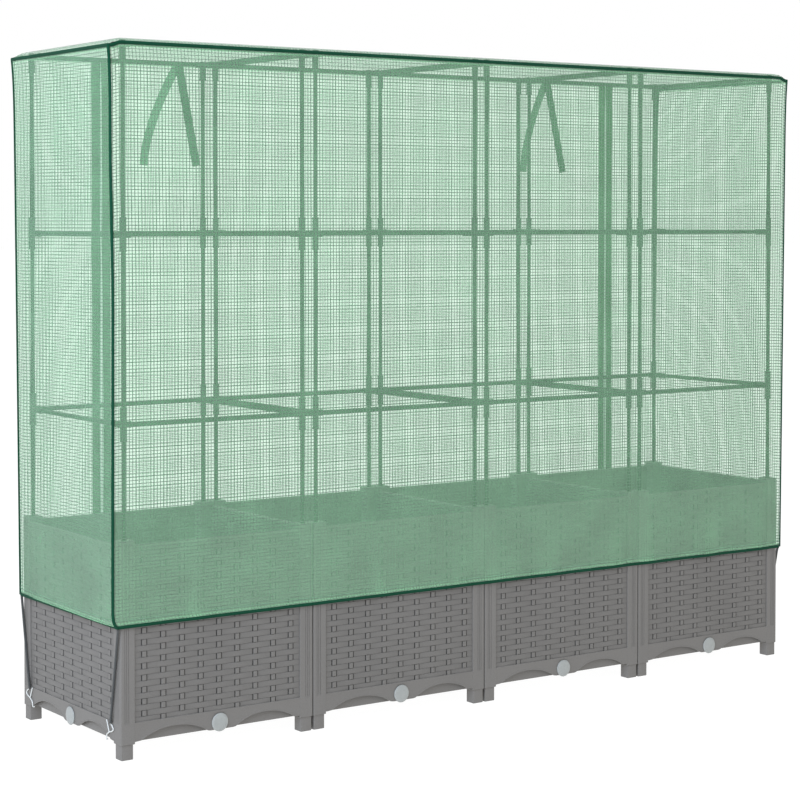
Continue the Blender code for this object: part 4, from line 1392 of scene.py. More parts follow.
@dataclass
class Planter:
    """One square wickerwork tub with its apron, pillars and feet."""

    bay: int
    finishes: Finishes
    weave: Wickerwork = field(default_factory=Wickerwork)
    recess: float = 0.0024
    wall: float = 0.0026
    rim_height: float = 0.0046
    rim_width: float = 0.0045
    rim_recess: float = 0.0009
    rim_rounding: float = 0.0012
    bite: float = 0.0015
    apron_recess: float = 0.0001
    arch_top: float = 0.0495
    arch_starts: tuple[float, float] = (0.024, 0.034)
    arch_inset: float = 0.0125
    rounding: float = 0.0022
    groove_depth: float = 0.0009
    groove_half: float = 0.0006
    grooves: tuple[float, ...] = (0.0080, 0.0116, 0.0155)
    foot_width: float = 0.0230
    foot_inset: float = 0.0020
    ledge_low: float = 0.026
    bore: float = 0.0043
    plug_hole: float = 0.0083

    def is_outer(self, quarter: int) -> bool:
        """Whether a side shows: 0 is the front, 1 the right, 2 the rear and 3 the left."""
        return quarter in (0, 2) or (quarter, self.bay) in ((3, 0), (1, LAYOUT.bays - 1))

    def wall_patch(self, shows: bool) -> Patch:
        """The woven front wall: a closed loop up the outside and down the inside, carried across.

        Args:
            shows: Whether the outside is seen, and gets its full relief.

        Returns:
            The wall about the planter's centre.
        """
        low, high = LAYOUT.apron_top - 0.002, LAYOUT.panel_top - self.rim_height / 2
        x = self.weave.columns(LAYOUT.pillar_inner + self.bite)[:, None]
        outer_shares = (0.0, 0.05, 0.19, 0.5, 0.81, 0.95)
        outer_z = self.weave.rows(low, high, outer_shares) if shows else np.array([low, high])
        inner_z = self.weave.rows(low, high, (0.0, 0.16, 0.84))[::-1]
        outer_height, outer_light = self.weave.height(x, outer_z[None], low)
        inner_height, inner_light = self.weave.height(x + self.weave.stake_pitch_mm * MM, inner_z[None], low)
        outer_face = -LAYOUT.half_plan + self.recess
        inner_face = outer_face + self.wall
        inside_pillar = np.abs(x) > LAYOUT.pillar_inner
        outer_y = np.where(inside_pillar | (not shows), outer_face, outer_face - outer_height * MM)
        inner_y = np.where(inside_pillar, inner_face, inner_face + 0.45 * inner_height * MM)
        y = np.concatenate([outer_y, inner_y], axis=1)
        rings = np.stack(np.broadcast_arrays(x, y, np.concatenate([outer_z, inner_z])), axis=-1)
        # relief carries the weave's painted light and shade.
        return loft(rings, relief=np.concatenate([outer_light, inner_light], axis=1))

    def rim_patch(self) -> Patch:
        """The rim along the top of the front wall.

        Returns:
            A closed patch.
        """
        half = LAYOUT.pillar_inner + self.bite
        middle = (0, -LAYOUT.half_plan + self.rim_recess + self.rim_width / 2, LAYOUT.panel_top - self.rim_height / 2)
        path = np.array(middle) + np.linspace(-half, half, 9)[:, None] * np.array([1, 0, 0])
        return sweep(path, soft_rectangle(self.rim_width, self.rim_height, self.rim_rounding), (0, 1, 0))

    def apron_edge(self, x: Array) -> Array:
        """Height of the apron's lower edge: level in the middle, an arch on each side, a curl at the end.

        Args:
            x: Places across the apron.

        Returns:
            The height at each.
        """
        foot, rise = LAYOUT.foot_height, 0.001
        start, end = np.where(x < 0, *self.arch_starts), LAYOUT.pillar_inner - self.arch_inset
        middle, half = (start + end) / 2, (end - start) / 2
        away = np.abs(x)
        t = np.clip((away - middle) / half, -1, 1)
        base = foot + 0.001 + rise * soft_step((t + 1) / 2)
        arch = base + (1 - np.abs(t) ** 2.2) * (self.arch_top - base)
        stops = [end, LAYOUT.pillar_inner - 0.005, LAYOUT.pillar_inner]
        tail = np.interp(away, stops, [foot + 0.001 + rise, foot + 0.0012, foot + 0.001])
        level = foot + 0.001 * np.clip((away - start + 0.005) / 0.005, 0, 1)
        return np.where(away < start, level, np.where(away > end, tail, arch))

    def apron_patch(self) -> Patch:
        """The front apron: a plate with a bead along its arched edge, carried across.

        Returns:
            A closed patch.
        """
        half = LAYOUT.pillar_inner + self.bite
        edges = [0.0, 0.010, 0.018, 0.0205, 0.0225, 0.024, 0.026, 0.029, 0.032, 0.034, 0.037, 0.0395, 0.043]
        tails = [0.1545, 0.157, 0.15875, 0.162, 0.16625, 0.169, 0.17125, half]
        side = np.concatenate([edges, np.linspace(0.048, 0.152, 27), tails])
        x = np.concatenate([-side[:0:-1], side])[:, None]
        depth = np.array([2.5, 2.9, 2.9, 2.6, 0.5, 0.1, 0.1, 0.25, 0.25, -0.15, -0.15, 0.3]) * MM
        lift = np.array([0.0, 0.4, 0.0, 0.0, 0.0, 0.0, 0.0, 0.0, 2.6, 2.1, 0.6, 0.0]) * MM
        drop = np.array([0.0, 0.0, 0.4, 0.0, 0.0, 0.4, 2.2, 2.6, 0.0, 0.0, 0.0, 0.0]) * MM
        from_top = np.array([0, 0, 1, 1, 1, 1, 1, 1, 0, 0, 0, 0])
        z = np.where(from_top, LAYOUT.apron_top - drop, self.apron_edge(x) + lift)
        y = -LAYOUT.half_plan + self.apron_recess + depth
        return loft(np.stack(np.broadcast_arrays(x, y, z), axis=-1))

    def pillar_section(self) -> tuple[Array, Array]:
        """A pillar's section about its post, for the corner towards -X and -Y.

        Returns:
            The plain outline, anticlockwise, and for each point how its grooves move it.
        """
        half, turn, soft = LAYOUT.pillar_width / 2, self.rounding, 0.0008
        cuts = np.concatenate([g + self.groove_half * np.array([-1, -0.45, 0.45, 1]) for g in self.grooves])
        deep = np.tile([0.0, 1.0, 1.0, 0.0], len(self.grooves)) * self.groove_depth
        left = np.stack([np.full(len(cuts), -half), cuts[::-1] - half], axis=-1)
        corner = circle(np.linspace(np.pi, 1.5 * np.pi, 7)) * turn + (turn - half)
        front = np.stack([cuts - half, np.full(len(cuts), -half)], axis=-1)
        plain = [[half - soft, -half], [half, -half + soft], [half, 0], [half, half - soft], [half - soft, half]]
        plain += [[0, half], [-half + soft, half], [-half, half - soft]]
        outline = np.concatenate([left, corner, front, plain])
        moves = np.zeros_like(outline)
        moves[: len(left), 0] = deep
        moves[len(left) + len(corner) : len(left) + len(corner) + len(front), 1] = deep
        return outline, moves

    def pillar_patch(self) -> Patch:
        """A corner pillar with grooves, softened ends and a bore for its post.

        Returns:
            A closed patch.
        """
        outline, moves = self.pillar_section()
        top, low, apron = LAYOUT.pillar_top, LAYOUT.foot_height - 0.003, LAYOUT.apron_top
        levels = [low, low + 0.0006, apron - 0.002, apron + 0.001, top - 0.006, top - 0.0045, top - 0.0009, top]
        grooved = np.array([0, 0, 0, 1, 1, 0, 0, 0], float)
        shrink = np.array([0.0006, 0, 0, 0, 0, 0, 0, 0.0009]) / (LAYOUT.pillar_width / 2)
        plan = outline[None] * (1 - shrink)[:, None, None] + moves[None] * grooved[:, None, None]
        radii = np.array([0.0078, 0.0070, 0.0056, self.bore, self.bore, self.bore])
        bore_z = [top, top - 0.0008, top - 0.0010, top - 0.0022, top - 0.04, top - 0.083]
        mouth = circle(np.arctan2(outline[:, 1], outline[:, 0]))[None] * radii[:, None, None]
        plan = np.concatenate([plan, mouth])
        heights = np.broadcast_to(np.array(levels + bore_z)[:, None, None], (*plan.shape[:2], 1))
        return loft(np.concatenate([plan - LAYOUT.post_from_centre, heights], axis=-1))

    def foot_patches(self) -> list[Patch]:
        """A foot and the ledge above it, for the corner towards -X and -Y.

        Returns:
            Closed patches.
        """
        start = -LAYOUT.half_plan + self.foot_inset
        stop, step = start + self.foot_width, start + 0.001
        ledge_end = -LAYOUT.pillar_inner + 0.0005
        foot = block((start, start, 0), (stop, stop, LAYOUT.foot_height + 0.001), 0.0010)
        ledge = block((step, step, self.ledge_low), (ledge_end, ledge_end, LAYOUT.foot_height - 0.0003), 0.0012)
        return [foot, ledge]

    def build(self) -> None:
        """Makes the walls, the aprons and the pillars, and gives the base its finish."""
        centre = (LAYOUT.bay_centre(self.bay), 0, 0)
        number, plain = self.bay + 1, [self.finishes.plain_wall]
        node = [f"planter_shell_{number}"]
        shown, hidden = self.wall_patch(True), self.wall_patch(False)
        walls = [(shown if self.is_outer(q) else hidden).moved(centre, q) for q in range(4)]
        rims, aprons = ([p.moved(centre, q) for q in range(4)] for p in (self.rim_patch(), self.apron_patch()))
        corner = [self.pillar_patch(), *self.foot_patches()]
        pillars = [patch.moved(centre, q) for q in range(4) for patch in corner]
        for name, patches in (("walls", walls[::2]), ("sides", walls[1::2])):
            add_piece(f"woven_{name}_{number}", patches, [self.finishes.wall], node)
        add_piece(f"wall_rims_{number}", rims, plain, node)
        add_piece(f"pillars_{number}", pillars, plain, node)
        drilled = object_of(f"aprons_{number}", aprons, plain)
        self.drill(drilled, centre)
        dress_piece(drilled, node)
        base = bpy.data.objects[f"planter_base_{number}"]
        base.data.materials.clear()
        base.data.materials.append(self.finishes.plain_wall)

    def drill(self, obj: Object, centre: Numbers) -> None:
        """Cuts the plug holes through the aprons that have a plug.

        Args:
            obj: The aprons.
            centre: The planter's centre.
        """
        face, z = -LAYOUT.half_plan, LAYOUT.plug_height
        bit = sweep(
            np.array([[0, face - 0.002, z], [0, face + 0.008, z]]),
            round_profile(2 * self.plug_hole, 2 * self.plug_hole, 32),
            (1, 0, 0),
        )
        cutter = object_of("cutter", [bit.moved(centre, q) for q in range(4) if self.is_outer(q)], [])
        modifier = obj.modifiers.new("hole", "BOOLEAN")
        modifier.operation, modifier.solver, modifier.object = "DIFFERENCE", "EXACT", cutter
        graph = bpy.context.evaluated_depsgraph_get()
        cut = bpy.data.meshes.new_from_object(obj.evaluated_get(graph))
        obj.modifiers.clear()
        obj.data = cut
        bpy.data.objects.remove(cutter, do_unlink=True)


@dataclass
class DrainPlug:
    """A push-in plug with a low domed head and a ribbed stem."""

    node: str
    place: tuple[float, float, float]
    axis: tuple[float, float, float]
    finishes: Finishes
    radius: float = 0.0168
    head: float = 0.0030
    stem_radius: float = 0.0079
    stem_length: float = 0.0158
    ribs: int = 4

    def profile(self) -> Array:
        """Radius and height from the middle of the head round to the end of the stem.

        Returns:
            The pairs, n by 2.
        """
        r, h, s = self.radius, self.head, self.stem_radius
        head = [(0, h), (r * 0.3, h - 0.0001), (r * 0.6, h - 0.0003), (r * 0.8, h - 0.0006), (r * 0.9, h - 0.0009)]
        edge = [(r * 0.97, h - 0.0014), (r, h - 0.0020), (r, 0.0002), (r * 0.96, -0.0001)]
        stem = [(s, -0.0001)]
        for rib in range(self.ribs):
            start = -self.stem_length * (0.15 + 0.2 * rib)
            stem += [(s, start), (s * 0.9, start - 0.0006), (s * 0.9, start - 0.0014), (s, start - 0.002)]
        stem += [(s * 0.86, -self.stem_length), (0, -self.stem_length)]
        return np.array(head + edge + stem)

    def build(self) -> None:
        """Makes the plug on its own body."""
        patch = turned_patch(self.profile(), self.place, self.axis, 40)
        name = self.node.removeprefix("drain_")
        add_piece(f"{name}_disc", [patch], [self.finishes.plug], [self.node], name)


def build_plugs(finishes: Finishes) -> None:
    """Makes the ten drain plugs on the row's outer sides.

    Args:
        finishes: The materials.
    """
    for bay in range(LAYOUT.bays):
        for face in Face:
            place = (LAYOUT.bay_centre(bay), face.value * LAYOUT.half_plan, LAYOUT.plug_height)
            DrainPlug(f"drain_plug_{bay + 1}_{face.tag}", place, (0, face.value, 0), finishes).build()
    for end in End:
        place = (end.value * LAYOUT.row_half, 0, LAYOUT.plug_height)
        DrainPlug(f"drain_plug_{end.tag}_end", place, (end.value, 0, 0), finishes).build()


# Net cover


@dataclass
class NetPanel:
    """A panel of the cover, as a function of a share across it and a share up it.

    place gives the middle of the film for shares from 0 to 1. Threads run along lines of even share.
    """

    name: str
    place: Place
    outside: tuple[float, float, float]
    width: float
    height: float
    finishes: Finishes
    node: str
    selvage: float = 0.006
    selvage_inset: float = 0.0003
    across_pitch: float = 0.0068
    up_pitch: float = 0.00628
    thread_width: float = 0.0009
    thread_depth: float = 0.0004
    film_step: float = 0.020
    thread_step: float = 0.045
    edge_marks_across: tuple[float, ...] = (0.0, 0.004, 0.009, 0.015, 0.022, 0.035)
    edge_marks_up: tuple[float, ...] = (0.0, 0.002, 0.005, 0.009, 0.015, 0.022, 0.030, 0.055)

    def marks(self, size: float, step: float, near: Numbers) -> Array:
        """Shares from 0 to 1, closer together near both edges.

        Args:
            size: The panel's size in this direction.
            step: The widest spacing.
            near: Distances from an edge that get a share of their own.

        Returns:
            The shares, in order.
        """
        even = np.linspace(0, 1, max(2, math.ceil(size / step)) + 1)
        edge = np.array(near) / size
        inner = even[(even > edge[-1]) & (even < 1 - edge[-1])]
        return np.unique(np.concatenate([edge, inner, 1 - edge]))

    def strip(self, low: float, high: float, inside: float) -> Patch:
        """The film between two heights, or a doubled strip just inside it.

        Args:
            low: Its lower edge as a share.
            high: Its upper edge as a share.
            inside: How far it lies inside the film.

        Returns:
            The open surface.
        """
        u = self.marks(self.width, self.film_step, self.edge_marks_across)
        v = self.marks(self.height, self.film_step, self.edge_marks_up)
        v = np.concatenate([[low], v[(v > low) & (v < high)], [high]])
        points = self.place(u[None, :], v[:, None]) - np.array(self.outside) * inside
        return grid_patch(points, u * self.width, v * self.height).facing(self.outside)

    def film(self) -> list[Patch]:
        """The film, with the doubled strips along its lower and upper edges.

        Returns:
            Open surfaces.
        """
        share = self.selvage / self.height
        strips = [(0.0, share), (1 - share, 1.0)] if share else []
        return [self.strip(0.0, 1.0, 0.0), *(self.strip(*ends, self.selvage_inset) for ends in strips)]

    def threads(self, upright: bool) -> Patch:
        """All threads in one direction: flat tapes, each a four-sided tube along the film.

        Args:
            upright: Whether they run up the panel or across it.

        Returns:
            One patch of closed tubes.
        """
        size, pitch = (self.width, self.across_pitch) if upright else (self.height, self.up_pitch)
        run, near = (self.height, self.edge_marks_up) if upright else (self.width, self.edge_marks_across)
        count = max(1, int(size / pitch))
        grid = np.meshgrid((np.arange(count) + 0.5) / count, self.marks(run, self.thread_step, near), indexing="ij")
        u, v = grid if upright else grid[::-1]
        points, nudge = self.place(u, v), 1e-4
        along_u = unit(self.place(np.clip(u + nudge, 0, 1), v) - self.place(np.clip(u - nudge, 0, 1), v))
        along_v = unit(self.place(u, np.clip(v + nudge, 0, 1)) - self.place(u, np.clip(v - nudge, 0, 1)))
        side = (along_u if upright else along_v) * self.thread_width / 2
        deep = unit(np.cross(along_u, along_v)) * self.thread_depth / 2
        edges = (points - side - deep, points + side - deep, points + side + deep, points - side + deep)
        corners = np.stack(edges, axis=2)
        threads, steps = corners.shape[:2]
        counts = (np.arange(n) for n in (threads, steps - 1, 4))
        i, s, c = (g.ravel() for g in np.meshgrid(*counts, indexing="ij"))
        base, after = (i * steps + s) * 4, (c + 1) % 4
        sides = np.stack([base + c, base + after, base + 4 + after, base + 4 + c], axis=-1)
        first = np.arange(threads)[:, None] * steps * 4
        faces = np.concatenate([sides, first + np.array([3, 2, 1, 0]), first + (steps - 1) * 4 + np.arange(4)])
        flat = corners.reshape(-1, 3)
        return Patch(flat, faces, np.zeros((len(faces), 4, 2)), np.ones(len(flat))).outward()

    def build(self) -> tuple[Object, Object]:
        """Returns:
            The film and the threads.
        """
        film = add_piece(f"film_{self.name}", self.film(), [self.finishes.film], [self.node])
        threads = [self.threads(True), self.threads(False)]
        net = add_piece(f"threads_{self.name}", threads, [self.finishes.yarn])
        return film, net


@dataclass
class NetCover:
    """The fixed panels of the cover with their edging."""

    finishes: Finishes
    wave: float = 0.0012
    tuck: float = 0.0012
    crown: float = 1.2668
    ripple: float = 0.0016
    tape_half: float = 0.0218
    corner_section: tuple[float, float, float] = (0.0056, 0.0032, 0.0014)  # its width, depth and rounding
    seam_section: tuple[float, float, float] = (0.0064, 0.0042, 0.0016)
    hem_section: tuple[float, float, float] = (0.0060, 0.0028, 0.0013)
    zip_lap: float = 0.004
    end_slope: float = 0.0265
    side_slope: float = 0.0085
    sag: float = 0.0012
    stitch_up: float = 0.0105
    stitch_out: float = 0.00045
    stitch_size: tuple[float, float] = (0.0009, 0.0006)
    stitch_pitch: float = 0.0042

    def hem_ripple(self, x: Array, z: Array) -> Array:
        """The hem's small ripples: two waves along X that die away upwards, stronger to the right.

        Args:
            x: Places along the row.
            z: Heights.

        Returns:
            How far each place is moved.
        """
        strength = self.ripple * (0.35 + 0.65 * soft_step((x + 0.1) / 0.6))
        shape = np.sin(2 * np.pi * x / 0.137) + 0.5 * np.sin(2 * np.pi * x / 0.083 + 1.1)
        return strength * shape * np.exp(-(z - LAYOUT.hem_height) / 0.055)

    def long_place(self, face: Face, left: float | None, right: float | None) -> Place:
        """The surface of a panel on a long side.

        X runs evenly between the two edges, Z from the hem to the seam, and Y has a shallow wave.

        Args:
            face: The side.
            left: X of the left edge, or None for the cover's corner.
            right: X of the right edge, or None for the cover's corner.

        Returns:
            The function of shares.
        """

        def place(u: Array, v: Array) -> Array:
            """Places for shares across and up.

            Args:
                u: Shares across.
                v: Shares up.

            Returns:
                Their places.
            """
            low = LAYOUT.hem_height + self.tuck
            level = low + (LAYOUT.side_seam - self.tuck - low) * v
            corner, side = LAYOUT.cover_half_x(level) - self.tuck, face.value * LAYOUT.cover_half_y
            start = -corner - LAYOUT.slack(End.LEFT, side, level) if left is None else left + 0 * level
            end = corner + LAYOUT.slack(End.RIGHT, side, level) if right is None else right + 0 * level
            x = start + (end - start) * u
            z = low + (LAYOUT.seam_height(x) - self.tuck - low) * v
            wave = self.wave * np.sin(np.pi * v) * np.sin(2 * np.pi * x / LAYOUT.pitch)
            y = face.value * (LAYOUT.cover_half_y + wave + self.hem_ripple(x, z))
            return np.stack([x, y, z + 0 * x], axis=-1)

        return place

    def end_place(self, end: End) -> Place:
        """The surface of the panel across one end, which leans and flares with the cover's corners.

        Args:
            end: The end.

        Returns:
            The function of shares.
        """

        def place(u: Array, v: Array) -> Array:
            """Places for shares across and up.

            Args:
                u: Shares across.
                v: Shares up.

            Returns:
                Their places.
            """
            low, high = LAYOUT.hem_height + self.tuck, LAYOUT.end_seam - self.tuck
            z = low + (high - low) * v
            y = (2 * u - 1) * (LAYOUT.cover_half_y - self.tuck)
            wave = self.wave * np.sin(np.pi * v) * np.sin(np.pi * u)
            x = end.value * (LAYOUT.cover_half_x(z) + LAYOUT.slack(end, y, z) + wave)
            return np.stack(np.broadcast_arrays(x, y, z), axis=-1)

        return place

    def top_place(self, u: Array, v: Array) -> Array:
        """The top: level on the fittings, and curving down to the seam all round like a quarter sine.

        Args:
            u: Shares across.
            v: Shares from front to rear.

        Returns:
            Their places.
        """
        half_x, half_y = LAYOUT.top_half_x - self.tuck, LAYOUT.cover_half_y - self.tuck
        y = (2 * v - 1) * half_y
        seam = LAYOUT.end_seam
        left, right = -half_x - LAYOUT.slack(End.LEFT, y, seam), half_x + LAYOUT.slack(End.RIGHT, y, seam)
        x = left + (right - left) * u
        drops = []
        for away, slope, low in (
            (np.minimum(x - left, right - x), self.end_slope, LAYOUT.end_seam + self.tuck),
            (half_y - np.abs(y), self.side_slope, LAYOUT.side_seam + self.tuck),
        ):
            drops.append((self.crown - low) * (1 - np.sin(np.pi / 2 * np.clip(away / slope, 0, 1))))
        bay = np.cos(np.pi * x / (LAYOUT.pitch / 2)) ** 2
        sag = self.sag * (1 - bay) * np.sin(np.pi * np.clip(v, 0, 1)) ** 2
        z = self.crown - np.maximum(*np.broadcast_arrays(*drops)) - sag
        return np.stack(np.broadcast_arrays(x, y, z), axis=-1)

    def panels(self) -> list[NetPanel]:
        """The six fixed panels.

        Returns:
            The panels.
        """
        deep, lap = 2 * LAYOUT.cover_half_y, self.tape_half - self.zip_lap
        long = 2 * LAYOUT.row_half + 2 * LAYOUT.hem_outside
        rows = [("front", self.long_place(Face.FRONT, None, None), (0, -1, 0), long)]
        for end in End:
            edge = LAYOUT.zip_x(end) + end.value * lap
            place = self.long_place(Face.REAR, *((None, edge) if end is End.LEFT else (edge, None)))
            width = LAYOUT.row_half + LAYOUT.hem_outside - abs(LAYOUT.zip_x(end)) - lap
            rows.append((f"rear_{end.tag}", place, (0, 1, 0), width))
        rows += [(f"{end.tag}_end", self.end_place(end), (end.value, 0, 0), deep) for end in End]
        found = [
            NetPanel(name, place, outside, width, LAYOUT.side_tall, self.finishes, f"cover_{name}")
            for name, place, outside, width in rows
        ]
        top = NetPanel("top", self.top_place, (0, 0, 1), 2 * LAYOUT.top_half_x, deep, self.finishes, "cover_top")
        across, up = (0.0, 0.003, 0.007, 0.012, 0.018, 0.0265), (0.0, 0.002, 0.005, 0.0105)
        found.append(replace(top, selvage=0.0, edge_marks_across=across, edge_marks_up=up, thread_depth=0.00006))
        return found

    def corner_tapes(self) -> list[Patch]:
        """The woven tape down each of the four corners.

        Returns:
            Closed patches.
        """
        hem, half_y = LAYOUT.hem_height, LAYOUT.cover_half_y
        near_hem = hem + np.array([0, 0.002, 0.004, 0.007, 0.010, 0.014, 0.020, 0.030])
        levels = np.concatenate([near_hem, np.linspace(0.3, 1.15, 18), np.linspace(1.17, LAYOUT.end_seam, 9)])
        flat = soft_rectangle(*self.corner_section)
        parts = []
        for end in End:
            for face in Face:
                x = end.value * (LAYOUT.cover_half_x(levels) + LAYOUT.slack(end, face.value * half_y, levels))
                path = np.stack([x, np.full_like(x, face.value * half_y), levels], axis=-1)
                parts.append(sweep(path, flat, (end.value, -face.value, 0)))
        return parts

    def seam_tape(self) -> Patch:
        """The tape round the top seam, a closed ring that drops at the two ends.

        Returns:
            A closed patch.
        """
        run = np.concatenate([np.linspace(0, LAYOUT.seam_rise_run, 7), [0.05]])
        sides = []
        for face in Face:
            y = face.value * LAYOUT.cover_half_y
            left, right = (LAYOUT.top_half_x + LAYOUT.slack(end, y, LAYOUT.end_seam) for end in End)
            x = np.concatenate([-left + run, np.linspace(-0.7, 0.7, 29), right - run[::-1]])
            sides.append(np.stack([x, np.full_like(x, y), LAYOUT.seam_height(x)], axis=-1))
        ring = np.concatenate([sides[0], sides[1][::-1]])
        return sweep(ring, soft_rectangle(*self.seam_section), (0, 0, 1), closed=True)

    def hem_tape(self) -> Patch:
        """The tape along the hem, from one zip round the plain side to the other, with the hem's ripples.

        Returns:
            A closed patch.
        """
        hem, half_y = LAYOUT.hem_height, LAYOUT.cover_half_y
        hem_x = float(LAYOUT.cover_half_x(hem))
        turns = [(End.LEFT, half_y), (End.LEFT, -half_y), (End.RIGHT, -half_y), (End.RIGHT, half_y)]
        corners = [(end.value * (hem_x + float(LAYOUT.slack(end, y, hem))), y, hem) for end, y in turns]
        starts = [(LAYOUT.zip_x(end) + end.value * self.tape_half, half_y, hem) for end in End]
        path = spaced(eased([starts[0], *corners, starts[1]], 0.003), 0.010)
        on_front = path[:, 1] < 0.9 * -half_y
        path[:, 1] -= np.where(on_front, self.hem_ripple(path[:, 0], path[:, 2]), 0.0)
        return sweep(path, soft_rectangle(*self.hem_section), (0, 0, 1))

    def stitches(self, place: Place, long: float, tall: float, out: Numbers) -> list[Patch]:
        """A line of stitches above a hem.

        Args:
            place: The panel's surface.
            long: The length that sets how many stitches there are.
            tall: The panel's height.
            out: Which way they stand out of the film.

        Returns:
            One closed patch for each stitch.
        """
        count = int(long / self.stitch_pitch)
        u = (np.arange(count)[:, None] + np.linspace(0.1, 0.75, 4)) / count
        line = place(u, np.full_like(u, self.stitch_up / tall)) + np.array(out) * self.stitch_out
        return [sweep(stitch, round_profile(*self.stitch_size, 6), (0, 0, 1)) for stitch in line]

    def build(self) -> None:
        """Makes the fixed panels, the edging and the stitching."""
        for panel in self.panels():
            panel.build()
        edging = [*self.corner_tapes(), self.seam_tape(), self.hem_tape()]
        add_piece("edging_tape", edging, [self.finishes.edging], ["cover_binding"])
        front = self.long_place(Face.FRONT, None, None)
        parts = self.stitches(front, 2 * LAYOUT.row_half, LAYOUT.side_tall, (0, -1, 0))
        end_tall = LAYOUT.end_seam - LAYOUT.hem_height
        for end in End:
            parts += self.stitches(self.end_place(end), 2 * LAYOUT.cover_half_y, end_tall, (end.value, 0, 0))
        add_piece("hem_stitching", parts, [self.finishes.stitch])


